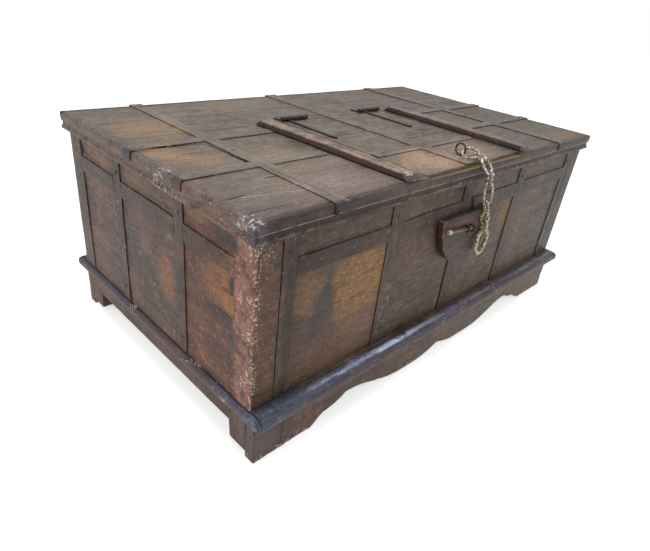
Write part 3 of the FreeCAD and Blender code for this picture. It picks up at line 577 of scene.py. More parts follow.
def end_wood():
    """Short walls."""
    p = Timber("short_wall_finish")
    colour = scratches(p, p.gritty(end_field(p), 0.60), 0.5)
    small, large = (p.spot((0, y, z), (None, wide, high), 0.1, 0.3)
                    for y, z, wide, high in ((0.019, 0.417, 0.004, 0.006), (0.300, 0.461, 0.006, 0.009)))
    holes = small.most(large)
    colour = p.mix(holes, colour, GAP)
    rubbed = corner_rub(p) * (p.dapple.rise(0.40, 0.56) * 0.42 + 0.50) + 0.10
    colour, chips = p.flakes(colour, rubbed, 0.85, 150.0, tone(214, 190, 176))
    colour = p.cracked(colour, 0.6)
    rough = 0.34 + p.cloud * 0.2 + p.speck * 0.12
    return p.finish(colour, rough, p.relief() - chips * 0.6 - holes * 3.0, 1.1)


def moulding_wood():
    """Base moulding: dark satin varnish, bluish in places, with a painted bluish sheen and highlights along its
    front, red-brown at the left end.
    """
    p = Timber("base_moulding_finish")
    colour = p.stained(hue("moulding_colour"), (104, 70, 58), (70, 72, 90), 0.55)
    ends = on_left(p).most(on_right(p))
    sides = 1 - ends
    rusty = p.stained(tone(82, 60, 52), (118, 76, 60), (62, 54, 60), 0.50)
    colour = p.mix(ends * 0.80, colour, rusty)
    behind, before = on_left(p) * p.y.rise(-0.06, 0.10), on_left(p) * p.y.fall(-0.27, -0.20)
    colour = p.patches(colour, behind + p.torn * 2.5, 0.50, 0.90, 0.60, tone(60, 57, 76))
    colour = p.patches(colour, before + p.torn * 2.5, 0.50, 0.90, 0.65, tone(80, 82, 106))
    joint = abs(p.x).fall(0.6385, 0.6410) * abs(p.y).fall(0.3650, 0.3680)
    colour = p.mix(joint * (ends * 0.62 + 0.30), colour, MITRE)
    # its ledge: grey outside, brown inside, with a broken dark line between them
    ledge = p.z.rise(0.1325, 0.1340) * sides
    depth = abs(p.y)
    outer = p.mottled(tone(112, 114, 122))
    colour = p.mix(ledge * depth.rise(0.3725, 0.3755) * (p.speck.rise(0.40, 0.60) * 0.35 + 0.40), colour, outer)
    colour = p.mix(ledge * depth.fall(0.3705, 0.3735) * 0.80, colour, p.mottled(tone(126, 106, 94)))
    dash = ledge * abs(depth - 0.3735).fall(0.0006, 0.0018) * p.streak.rise(0.50, 0.57)
    colour = p.mix(dash * 0.85, colour, tone(20, 18, 20))
    # its round: red-brown below, with a painted bluish sheen and a painted highlight along its upper front, brightest
    # before the first panel
    colour = p.mix(p.z.fall(0.110, 0.120) * sides * 0.55, colour, p.mottled(tone(56, 38, 36)))
    sheen_band = abs(p.y + 0.3870 + (p.streak - 0.5) * 0.012).fall(0.0015, 0.0080) * p.z.rise(0.1300, 0.1320)
    strong = p.x.rise(-0.56, -0.44) * p.x.fall(-0.16, 0.02)
    sheen_below = p.z.rise(0.1215, 0.1260) * p.z.fall(0.1325, 0.1345) * sides * p.x.fall(-0.05, 0.20)
    colour = p.mix(sheen_below * (p.streak.rise(0.38, 0.56) * 0.40 + 0.15), colour, p.mottled(tone(76, 82, 110)))
    # painted bluish highlight near the right end of the front
    far = p.x.rise(0.500, 0.560) * sides
    colour = p.mix(far * p.dapple.rise(0.42, 0.56) * 0.55, colour, p.mottled(tone(96, 96, 120)))
    painted_sheen = sheen_band * (strong * 0.62 + 0.16) * (p.streak * 0.6 + p.dapple * 0.4).rise(0.42, 0.54)
    colour = p.mix(painted_sheen, colour, tone(156, 166, 194))
    bright_highlight = p.x.rise(-0.36, -0.28) * p.x.fall(-0.22, -0.13) * p.dapple.rise(0.42, 0.52)
    colour = p.mix(sheen_band * bright_highlight * 0.65, colour, tone(214, 224, 244))
    # its near corner and its ends
    corner = p.x.fall(-0.56, -0.44) * p.y.fall(-0.36, -0.33)
    colour = p.patches(colour, corner + p.torn * 2.4, 0.45, 0.85, 0.65, tone(66, 74, 88))
    colour = p.patches(colour, corner - p.torn * 5.0, 1.15, 1.45, 0.60, tone(104, 118, 128))
    colour = p.patches(colour, corner + p.torn * 6.0, 1.35, 1.55, 0.55, tone(62, 46, 42))
    wall_joint = abs(p.x).fall(0.6375, 0.6395) * ends
    colour = p.patches(colour, wall_joint + p.torn * 2.0, 0.50, 0.80, 0.85, tone(20, 17, 20))
    colour = p.patches(colour, ends + p.torn * 3.6, 0.95, 1.15, 0.55, tone(52, 46, 54))
    thick = p.drift.rise(0.48, 0.68) * (ends * 0.25 + 0.65)
    colour, chips = p.flakes(p.gritty(colour, 0.5), thick, 0.85, 140.0, tone(214, 198, 186))
    rough = 0.26 + p.speck * 0.26 + p.dapple * 0.12
    return p.finish(colour, rough, p.relief() - chips * 0.8, 1.2, shine=0.26)


def plinth_wood():
    """Plinth boards: orange brown to the left, olive grey to the right, chipped at the soles."""
    p = Timber("plinth_finish")
    colour = p.stained(hue("plinth_colour"), (126, 86, 62), (72, 68, 74), 0.45)
    grey = p.stained(hue("plinth_right_colour"), (112, 92, 72), (78, 78, 80), 0.4)
    colour = p.mix(p.x.rise(-0.35, 0.30) * 0.7, colour, grey)
    foot = p.x.fall(-0.600, -0.540) * p.y.fall(-0.34, -0.30) * p.z.fall(0.075, 0.092)
    colour = p.patches(colour, foot + p.torn * 1.2, 0.40, 0.80, 0.40, tone(102, 90, 90))
    joint = p.line((-0.560, 0.095), (-0.563, 0.0), 0.0022, "xz") * p.y.fall(-0.37, -0.36)
    colour = p.mix(joint * 0.9, colour, GAP)
    colour = p.grimy(p.gritty(colour, 0.44), 0.004, 0.5)
    soles = p.z.fall(0.004, 0.026) * 0.8 + p.drift.rise(0.55, 0.75) * 0.25
    colour, chips = p.flakes(colour, soles, 0.85, 110.0, tone(196, 190, 186))
    colour = p.cracked(colour, 0.7)
    rough = 0.36 + p.cloud * 0.2 + p.speck * 0.1
    return p.finish(colour, rough, p.relief() - chips, 1.1)


def inside_wood():
    """Bare sawn boards and battens that never had a finish."""
    p = Timber("inside_finish")
    colour = p.grimy(p.cracked(p.gritty(p.mottled(hue("inside_colour")), 0.3)), 0.006, 0.5)
    return p.finish(colour, 0.70 + p.cloud * 0.15, p.relief(), 0.8)


def rail_wood():
    """Two battens on the top: dark red varnish worn through to tan wood on top."""
    p = Timber("rail_finish")
    colour = p.stained(hue("rail_colour"), (96, 50, 46), (52, 46, 58), 0.5)
    top = p.z.rise(0.5395, 0.5440)
    left = p.x.fall(-0.05, 0.05)
    bare = (top * 0.85 + (p.streak - 0.5) * 1.5 + p.torn * 1.8).rise(0.60, 0.90)
    colour = p.mix(bare * (left * 0.55 + 0.30), colour, p.mottled(tone(140, 108, 84)))
    front = p.y.fall(-0.36, -0.24) * left
    tip = p.y.fall(-0.370, -0.352)
    colour = p.patches(colour, tip + p.torn * 2.4, 0.55, 0.85, 0.55, tone(70, 60, 62))
    thick = (front * top * 0.85).most(tip * 0.42) + 0.04
    colour, chips = p.flakes(p.gritty(colour, 0.45), thick, 0.85, 120.0, tone(204, 196, 188))
    rough = 0.28 + p.speck * 0.25
    return p.finish(colour, rough, p.relief() - chips, 1.5, coat=0.2)


def block_wood():
    """Lock block: dark matt stain with a reddish rub."""
    p = Timber("lock_block_finish")
    colour = p.stained(hue("block_colour"), (112, 78, 68), (62, 60, 64), 0.45)
    colour = p.mix(p.spot((-0.035, 0, 0.388), (0.060, None, 0.014)) * 0.5, colour, tone(108, 76, 70))
    side = p.y.rise(-0.3805, -0.3785) * p.x.fall(-0.02, -0.01)
    colour = p.patches(colour, side + p.torn * 1.8, 0.45, 0.85, 0.55, tone(82, 50, 44))
    colour = p.rubbed(p.gritty(colour, 0.45), tone(136, 116, 104), 0.004, 0.45)
    return p.finish(colour, 0.38 + p.speck * 0.2, p.relief(), 1.1)


def top_iron():
    """Straps on the top: painted over like the boards, near black where they turn down."""
    p = Timber("top_strap_finish")
    colour = top_field(p)
    colour = p.patches(colour, p.dapple, 0.48, 0.62, 0.25, tone(96, 96, 100))
    turned = p.z.fall(0.5295, 0.5310)
    colour = p.mix(turned * 0.85, colour, edge_field(p))
    ends = (abs(p.x).rise(0.636, 0.650) + abs(p.y).rise(0.364, 0.377)).least(1.0)
    colour = p.patches(colour, ends + p.torn * 1.6, 0.55, 0.85, 0.60, tone(38, 38, 48))
    colour = p.rubbed(p.gritty(colour, 0.45), tone(132, 124, 118), 0.0016, 0.30)
    colour, _ = p.flakes(colour, p.arris.fall(0.002, 0.005) * p.drift.rise(0.50, 0.62) * 0.45 + 0.02, 0.8, 140.0)
    # painted shade along the flanks: faint on the right flanks, all but lost at the back of the middle strap
    faint = p.x.rise(-0.440, -0.430) * 0.35
    for right_flank in (-0.445, 0.455):
        faint = abs(p.x - right_flank).fall(0.005, 0.009).most(faint)
    centre = abs(p.x + 0.018).fall(0.024, 0.028) * p.y.rise(-0.10, 0.0)
    colour = p.flank_shade(colour, 0.92 - (faint * 0.62).most(centre * 0.92))
    # painted highlight along the bend where the straps turn down at the front and back
    bend = abs(p.z - 0.5318).fall(0.0006, 0.0014) * abs(p.y).rise(0.373, 0.375)
    colour = p.mix(bend * 0.6 * p.fleck.rise(0.40, 0.52), colour, tone(140, 142, 160))
    # painted light on the flanks of the middle strap from the hatch back, lifting their shade
    colour = p.mix(p.flank * centre * 0.55, colour, tone(140, 130, 118))
    height = p.relief() + p.speck * 1.2
    return p.finish(colour, 0.36 + p.speck * 0.2, height, 1.0, metallic=p.fleck.rise(0.5, 0.65) * 0.25)


def wall_iron():
    """Straps and corner irons on the walls: stained with the walls, chipped cream at the near corner."""
    p = Timber("wall_strap_finish")
    near = p.y.fall(-0.300, -0.290) * p.x.fall(-0.572, -0.560)
    colour = p.mix((1 - near) * 0.48, wall_colour(p), p.mottled(hue("iron_colour")))
    colour, chips = cream_chips(p, scratches(p, p.gritty(colour, 0.5), 0.5))
    light = p.spot((-0.262, 0, 0.235), (0.016, None, 0.08))
    colour = p.mix(light * p.speck.rise(0.50, 0.62) * 0.6, colour, tone(146, 132, 120))
    colour = p.rubbed(colour, tone(126, 110, 100), 0.0016, 0.30)
    soft = p.x.rise(-0.25, 0.10) * (0.35 + p.z.rise(0.395, 0.410) * 0.30)
    # painted shade along the flanks: strong on the uprights, weak on the level straps, softer to the right, none on
    # the near corner's end face
    colour = p.flank_shade(colour, (1 - near * p.x.fall(-0.634, -0.632)) * (p.upright * 0.78 + 0.16) * (1 - soft))
    # painted light on the flanks of the level straps, more to the right, lifting their shade
    level_flank_light = (1 - p.upright) * (0.15 + p.x.rise(-0.25, 0.0) * 0.25)
    colour = p.mix(p.flank * level_flank_light, colour, tone(118, 104, 92))
    height = p.relief() + p.speck * 1.2 - chips * 0.8
    return p.finish(colour, 0.34 + p.speck * 0.2, height, 1.0, metallic=p.fleck.rise(0.5, 0.65) * 0.2)


def iron(name, base, bare, rough, metal, special=None):
    """Bare old iron, bumpy and brighter on its bumps; special may recolour it first."""
    p = Timber(name)
    colour = p.mottled(base)
    if special:
        colour = special(p, colour)
    bumps = p.noise(p.moved, 180.0, 4.0, 0.7)
    colour = p.mix(bumps.rise(0.52, 0.62) * 0.6, colour, bare)
    height = p.speck * 1.2 + bumps * 0.8
    return p.finish(colour, rough + (bumps - 0.5) * 0.3, height, 0.8, metallic=p.speck.fall(0.4, 0.6) * metal)


def hinge_iron():
    """Dull dark iron of the hinges."""
    return iron("hinge_finish", tone(50, 46, 45), tone(104, 98, 94), 0.42, 0.6)


def dark_iron():
    """Blackened iron of the eye, the keepers, the staple and the bent nails."""
    return iron("black_iron_finish", tone(48, 42, 39), tone(116, 104, 96), 0.40, 0.7)


def bolt_iron():
    """Bolt: dark, with a painted highlight at its knob end."""
    def bright_highlight(p, colour):
        return p.mix(p.x.fall(-0.094, -0.080) * 0.85, colour, tone(190, 178, 166))
    return iron("bolt_finish", tone(88, 70, 62), tone(136, 120, 108), 0.38, 0.6, bright_highlight)


def chain_metal(name, base, pale, dark):
    """Old chain: base metal, pale plating left in places, dark pits."""
    p = Paint(name)
    rust = p.noise(p.where, 150.0, 5.0, 0.75)
    speck = p.noise(p.where, 330.0, 4.0, 0.7)
    colour = p.mix(rust.rise(0.44, 0.53), base, pale)
    colour = p.mix(speck.rise(0.47, 0.54) * 0.95, colour, dark)
    return p.finish(colour, 0.30 + speck * 0.3, rust * 1.6 - speck * 1.6, 1.1, metallic=speck.fall(0.45, 0.55) * 0.35)


def chain_steel():
    """Upper links: pale old plating."""
    return chain_metal("pale_link_finish", tone(176, 158, 130), hue("pale_link_colour"), tone(44, 35, 30))


def chain_brass():
    """Lower links and the end ring: golden, speckled."""
    return chain_metal("golden_link_finish", tone(188, 158, 112), hue("golden_link_colour"), tone(46, 34, 24))


FINISHES = {
    "top_wood": top_wood, "edge_wood": edge_wood, "front_wood": front_wood, "end_wood": end_wood,
    "moulding_wood": moulding_wood, "plinth_wood": plinth_wood, "inside_wood": inside_wood,
    "rail_wood": rail_wood, "block_wood": block_wood, "top_iron": top_iron, "wall_iron": wall_iron,
    "hinge_iron": hinge_iron, "dark_iron": dark_iron, "bolt_iron": bolt_iron,
    "chain_steel": chain_steel, "chain_brass": chain_brass,
}
made_finishes = {}


def finish_of(slot):
    """Material of a slot, made once."""
    if slot not in made_finishes:
        made_finishes[slot] = FINISHES[slot]()
    return made_finishes[slot]


# ---------------------------------------------------------------- unevenness
def lumps(points, cell, seed):
    """Smooth unevenness from -1 to 1 at each point, with features about one cell wide."""
    spread = points / cell + seed * 13.7
    base = np.floor(spread).astype(np.int64)
    part = spread - base
    part = part * part * (3 - 2 * part)
    total = np.zeros(len(points))
    for corner in range(8):
        bits = np.array([corner & 1, corner >> 1 & 1, corner >> 2 & 1])
        weight = np.prod(np.where(bits, part, 1 - part), axis=1)
        place = base + bits
        mixed = place[:, 0] * 73856093 ^ place[:, 1] * 19349663 ^ place[:, 2] * 83492791
        mixed = (mixed ^ mixed >> 13) * 1274126177 & 0x7FFFFFFF
        total += weight * (mixed / 0x3FFFFFFF - 1)
    return total


def moved_out(points, arris_way, seed, swell, wear, chip=0.017, fine=0.006, wave=0.09):
    """How far each point moves out, in metres: a slow swell, less the chips at the arrises.

    chip, fine and wave are the widths of the chips, of their ragged rims and of the swell.
    """
    chips = np.maximum(0, lumps(points, chip, seed) + 0.5 * lumps(points, fine, seed + 3) - 0.30)
    chips *= np.exp(-arris_way / 0.004)
    uneven = lumps(points, wave, seed + 1) + 0.35 * lumps(points, 0.025, seed + 2)
    return (swell * uneven - 1.6 * wear * chips) * MM


# ---------------------------------------------------------------- meshes
class Pile:
    """Solids of one piece, gathered with the facts that its finish reads."""

    def __init__(self):
        self.points, self.faces, self.arris, self.grain, self.seed, self.flank = [], [], [], [], [], []
        self.count = 0

    def add(self, points, faces, arris, grain, seed, flank=0.0):
        """One more solid: a fact is one value for all its points, or one for each."""
        self.points.append(points)
        self.faces += [tuple(int(i) + self.count for i in face) for face in faces]
        self.arris.append(np.broadcast_to(arris, len(points)))
        self.grain.append(np.broadcast_to(grain, (len(points), 3)))
        self.seed.append(np.full(len(points), seed))
        self.flank.append(np.broadcast_to(flank, len(points)))
        self.count += len(points)

    def piece(self, name, slot, body, *nodes):
        """Mesh object that rides on a body and stands for CAD nodes."""
        mesh = bpy.data.meshes.new(name)
        mesh.from_pydata(np.concatenate(self.points).tolist(), [], self.faces)
        for label, values in (("arris", self.arris), ("seed", self.seed), ("flank", self.flank)):
            fact = mesh.attributes.new(label, "FLOAT", "POINT")
            fact.data.foreach_set("value", np.concatenate(values).astype(np.float32))
        grain = mesh.attributes.new("grain", "FLOAT_VECTOR", "POINT")
        grain.data.foreach_set("vector", np.concatenate(self.grain).astype(np.float32).ravel())
        mesh.polygons.foreach_set("use_smooth", np.ones(len(mesh.polygons), dtype=bool))
        mesh.materials.append(finish_of(slot))
        mesh.validate()
        mesh.update()
        piece = bpy.data.objects.new(name, mesh)
        bpy.context.scene.collection.objects.link(piece)
        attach(piece, body)
        if nodes:
            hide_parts(*nodes)
        return piece


def band(first, second, count):
    """Faces between two closed rows of count points, which start at the numbers first and second."""
    follow = [(index + 1) % count for index in range(count)]
    return [(first + here, first + there, second + there, second + here) for here, there in enumerate(follow)]


def side_lines(low, high, arris, step):
    """Grid lines along one side of a board, close together at its arrises."""
    span = high - low
    arris = min(arris, span * 0.45)
    rim = arris * np.array((0.0, 0.42, 0.73, 1.0, 1.35))
    if span < 3.2 * arris:
        rim = rim[:4]
    inner = span - 2 * rim[-1]
    cells = max(1, round(inner / step))
    middle = np.linspace(rim[-1], span - rim[-1], cells + 1)
    return low + np.concatenate((rim[:-1], middle, span - rim[-2::-1]))


def shell(lines):
    """Grid points on the outside of a box, and the faces between them."""
    counts = [len(line) for line in lines]
    steps = np.meshgrid(*(np.arange(count) for count in counts), indexing="ij")
    outside = np.zeros(counts, dtype=bool)
    for step, count in zip(steps, counts):
        outside |= (step == 0) | (step == count - 1)
    number = np.full(counts, -1)
    number[outside] = np.arange(outside.sum())
    points = np.stack([line[step[outside]] for line, step in zip(lines, steps)], axis=1)
    faces = []
    for axis in range(3):
        for end in (0, -1):
            sheet = np.take(number, end, axis=axis)
            quads = np.stack([sheet[:-1, :-1], sheet[1:, :-1], sheet[1:, 1:], sheet[:-1, 1:]], axis=-1).reshape(-1, 4)
            faces.append(quads[:, ::-1] if (end == 0) != (axis == 1) else quads)
    return points, np.concatenate(faces)


def board(pile, low, high, seed, arris=2.0, step=12.0, wear=1.0, swell=0.25, grain=None, shape=None, extra=()):
    """Rounded, slightly uneven board between two corners, with chipped arrises.

    arris, step and swell are in millimetres, and wear scales the chips. shape bends the finished
    points. extra holds pairs of an axis and places along it that need grid lines of their own.
    """
    low, high = np.array(low, float), np.array(high, float)
    span = high - low
    radius = min(arris * MM, span.min() * 0.45)
    lines = [side_lines(low[axis], high[axis], radius, step * MM) for axis in range(3)]
    for axis, places in extra:
        lines[axis] = np.unique(np.concatenate((lines[axis], places)))
    points, faces = shell(lines)
    core = np.clip(points, low + radius, high - radius)
    out = points - core
    out /= np.linalg.norm(out, axis=1)[:, None]
    points = core + out * radius
    to_face = span / 2 - np.abs(points - (low + high) / 2)
    arris_way = np.sort(to_face, axis=1)[:, 1]
    points = points + out * moved_out(points, arris_way, seed, swell, wear)[:, None]
    if grain is None:
        grain = np.eye(3)[int(np.argmax(span))]
    # the flanks that look forward, left or up get more of the painted shade line than the others
    thin = int(np.argmin(span))
    flank = np.clip(1.6 * (1 - np.abs(out[:, thin])) - 0.6, 0, 1)
    sideways = out.copy()
    sideways[:, thin] = 0
    if shape:
        nudge = 1e-4
        sideways = (shape(points + sideways * nudge) - shape(points)) / nudge
        points = shape(points)
    upward = sideways[:, 2] if span[thin] < 0.02 and np.ptp(points[:, 2]) > 0.02 else 0
    shaded = np.clip(np.maximum(-sideways[:, 0] - sideways[:, 1], upward), 0, 1)
    pile.add(points, faces, arris_way, grain, seed, flank * (0.30 + 0.70 * shaded))


def corners_of(mesh):
    """Points of a mesh, one row for each."""
    points = np.empty(len(mesh.vertices) * 3)
    mesh.vertices.foreach_get("co", points)
    return points.reshape(-1, 3)


def box_of(node):
    """Lowest and highest corner of a CAD node."""
    low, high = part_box(node)
    return np.array(low), np.array(high)


def solids(node):
    """Corner pairs of the separate solids of a CAD node."""
    mesh = frame["nodes"][node].data
    points = corners_of(mesh)
    same = 2e-6
    keys, group = np.unique(np.round(points / same).astype(np.int64), axis=0, return_inverse=True)
    group = group.ravel()
    parent = np.arange(len(keys))

    def root(index):
        while parent[index] != index:
            parent[index] = parent[parent[index]]
            index = parent[index]
        return index

    for edge in mesh.edges:
        a, b = root(group[edge.vertices[0]]), root(group[edge.vertices[1]])
        if a != b:
            parent[a] = b
    roots = np.array([root(index) for index in range(len(keys))])[group]
    found = []
    for value in np.unique(roots):
        own = points[roots == value]
        found.append((own.min(axis=0), own.max(axis=0)))
    return sorted(found, key=lambda pair: tuple(np.round(pair[0], 4)))


def boards(name, slot, node, body="chest", **options):
    """Piece of plain boards, one for each solid of a CAD node."""
    pile = Pile()
    for index, (low, high) in enumerate(solids(node)):
        board(pile, low, high, seed=index * 0.37 + (len(node) % 7) * 0.11, **options)
    return pile.piece(name, slot, body, node)


def bent(path, bend):
    """Strip coordinates to space: a path of corners, rounded with radius bend.

    Points come as (along, across, out); the result is (path plane u, across, path plane v).
    """
    corners = [np.array(corner, float) for corner in path]
    bend_places = 7
    track = [corners[0]]
    for before, here, after in zip(corners, corners[1:], corners[2:]):
        back = (before - here) / np.linalg.norm(before - here)
        ahead = (after - here) / np.linalg.norm(after - here)
        for share in np.linspace(0, 1, bend_places):
            first = here + back * bend * (1 - share)
            second = here + ahead * bend * share
            track.append(first * (1 - share) + second * share)
    track.append(corners[-1])
    track = np.array(track)
    length = np.concatenate(([0], np.cumsum(np.linalg.norm(np.diff(track, axis=0), axis=1))))
    way = np.gradient(track, length, axis=0)
    way /= np.linalg.norm(way, axis=1)[:, None]

    def shape(points):
        along = points[:, 0]
        u = np.interp(along, length, track[:, 0])
        v = np.interp(along, length, track[:, 1])
        wu = np.interp(along, length, way[:, 0])
        wv = np.interp(along, length, way[:, 1])
        size = np.hypot(wu, wv)
        return np.stack([u - points[:, 2] * wv / size, points[:, 1], v + points[:, 2] * wu / size], axis=1)

    return shape, length[-1]


def strap(pile, path, low, high, plane, seed, bend=4.0, swell=0.45, wear=0.8, step=10.0):
    """Iron strip from low to high across, bent along a path in the plane "yz", "xz" or "xy"."""
    shape, length = bent(path, bend * MM)
    order = {"yz": [1, 0, 2], "xz": [0, 1, 2], "xy": [0, 2, 1]}[plane]
    longest = max(zip(path, path[1:]), key=lambda pair: math.dist(*pair))
    way = np.array(longest[1], float) - np.array(longest[0], float)
    way /= np.linalg.norm(way)
    board(pile, (0, low, -PLATE / 2), (length, high, PLATE / 2), arris=1.1, step=step, wear=wear, swell=swell,
          seed=seed, grain=np.array((way[0], 0.0, way[1]))[order], shape=lambda points: shape(points)[:, order])


def bar(pile, track, plane, radius, closed, seed, rough, sides=14, sizes=None):
    """Round bar along a flat track.

    plane is the normal of the track's plane, rough is in millimetres, and sizes gives each place
    of the track a radius of its own.
    """
    track = np.array(track, float)
    plane = np.array(plane, float)
    plane /= np.linalg.norm(plane)
    if closed:
        way = np.roll(track, -1, axis=0) - np.roll(track, 1, axis=0)
    else:
        way = np.gradient(track, axis=0)
    way /= np.linalg.norm(way, axis=1)[:, None]
    out = np.cross(way, plane)
    angle = np.linspace(0, 2 * math.pi, sides, endpoint=False)
    cosine, sine = np.cos(angle)[None, :, None], np.sin(angle)[None, :, None]
    across = cosine * out[:, None, :] + sine * plane[None, None, :]
    sizes = np.full(len(track), radius) if sizes is None else np.array(sizes)
    points = (track[:, None, :] + across * sizes[:, None, None]).reshape(-1, 3)
    across = across.reshape(-1, 3)
    uneven = lumps(points, 0.006, seed) + 0.6 * lumps(points, 0.0028, seed + 1)
    points = points + across * (uneven * rough * MM)[:, None]
    rings = len(track)
    faces = []
    for ring in range(rings if closed else rings - 1):
        faces += band(ring * sides, (ring + 1) % rings * sides, sides)
    if not closed:
        faces.append(tuple(reversed(range(sides))))
        faces.append(tuple((rings - 1) * sides + side for side in range(sides)))
    pile.add(points, [face[::-1] for face in faces], radius, (0, 0, 1), seed)


def oval(start, end, bar_way, half_width, bend_steps=12):
    """Stadium track of a link between the middles of its end bars, which run along bar_way."""
    start, end, bar_way = (np.array(value, float) for value in (start, end, bar_way))
    along = end - start
    length = np.linalg.norm(along)
    along /= length
    bar_way -= along * np.dot(bar_way, along)
    bar_way /= np.linalg.norm(bar_way)
    straight = length / 2 - half_width
    middle = (start + end) / 2
    angles = np.linspace(-math.pi / 2, math.pi / 2, bend_steps + 1)
    far = [(straight + half_width * math.cos(a), half_width * math.sin(a)) for a in angles]
    near = [(-x, -y) for x, y in far]
    flat = []
    for a, b in zip(far + near, (far + near)[1:] + far[:1]):
        pieces = max(1, round(math.dist(a, b) / 0.003))
        for share in np.arange(pieces) / pieces:
            flat.append((a[0] + (b[0] - a[0]) * share, a[1] + (b[1] - a[1]) * share))
    track = [middle + along * x + bar_way * y for x, y in flat]
    return track, np.cross(along, bar_way)


# ---------------------------------------------------------------- pieces
def build_walls():
    """Four walls; the joints of their planks are filled with old stain."""
    slots = {"front": "front_wood", "back": "front_wood", "left": "end_wood", "right": "end_wood"}
    for number, (side, slot) in enumerate(slots.items()):
        node = side + "_wall_planks"
        pile = Pile()
        board(pile, *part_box(node), arris=1.5, step=14, swell=0.3, seed=number * 0.31)
        pile.piece(side + "_wall", slot, "chest", node)


def build_inside():
    """Floor boards, ledgers and corner posts."""
    boards("floor_planks", "inside_wood", "floor_boards", step=40, arris=1.5)
    boards("posts", "inside_wood", "corner_posts", step=40, arris=2.0)
    low, high = box_of("floor_ledgers")
    width = 25 * MM
    pile = Pile()
    for number, (x1, y1, x2, y2) in enumerate((
            (low[0], low[1], high[0], low[1] + width), (low[0], high[1] - width, high[0], high[1]),
            (low[0], low[1] + width, low[0] + width, high[1] - width),
            (high[0] - width, low[1] + width, high[0], high[1] - width))):
        board(pile, (x1, y1, low[2]), (x2, y2, high[2]), arris=1.5, step=40, seed=number * 0.3)
    pile.piece("ledgers", "inside_wood", "chest", "floor_ledgers")


def lower_edge(node):
    """Height of a board's lower edge at any place along X, read from its solid."""
    points = corners_of(frame["nodes"][node].data)
    points = points[points[:, 2] < points[:, 2].max() - 1e-4]
    places, index = np.unique(np.round(points[:, 0], 5), return_inverse=True)
    heights = np.full(len(places), 1.0)
    np.minimum.at(heights, index.ravel(), points[:, 2])
    return places, heights


def plinth_box(node):
    """Corners of a plinth board, carried up to the underside of the base moulding."""
    low, high = box_of(node)
    high[2] = PLINTH_TOP
    return low, high


def hollowed(points, low, high, under):
    """Points of a board between two heights, its lower edge raised to the heights under."""
    share = (points[:, 2] - low[2]) / (high[2] - low[2])
    points = points.copy()
    points[:, 2] = under + share * (high[2] - under)
    return points


def plain_plinth(side, axis, foot, lift):
    """Plinth board with a foot at each end and its lower edge lifted between them."""
    low, high = plinth_box("plinth_" + side)
    inner, outer = low[axis] + foot, high[axis] - foot
    ramp = 0.004

    def raised(points):
        place = points[:, axis]
        inside = np.clip((place - inner) / ramp, 0, 1) * np.clip((outer - place) / ramp, 0, 1)
        return hollowed(points, low, high, low[2] + lift * inside)

    cuts = np.array((inner, inner + ramp / 2, inner + ramp, outer - ramp, outer - ramp / 2, outer))
    pile = Pile()
    board(pile, low, high, arris=2.0, step=14, wear=1.2, seed=0.4, shape=raised, extra=((axis, cuts),))
    pile.piece(side + "_plinth", "plinth_wood", "chest", "plinth_" + side)


def build_plinth():
    """Shaped plinth boards and their glue blocks."""
    low, high = plinth_box("plinth_front")
    places, heights = lower_edge("plinth_front")

    def arched(points):
        return hollowed(points, low, high, np.interp(points[:, 0], places, heights))

    pile = Pile()
    board(pile, low, high, arris=2.0, step=6, wear=1.4, swell=0.35, seed=0.2, shape=arched)
    pile.piece("front_plinth", "plinth_wood", "chest", "plinth_front")
    plain_plinth("back", 0, 0.157, 0.045)
    plain_plinth("left", 1, 0.052, 0.044)
    plain_plinth("right", 1, 0.052, 0.044)
    boards("glue_blocks", "inside_wood", "plinth_blocks", step=30)


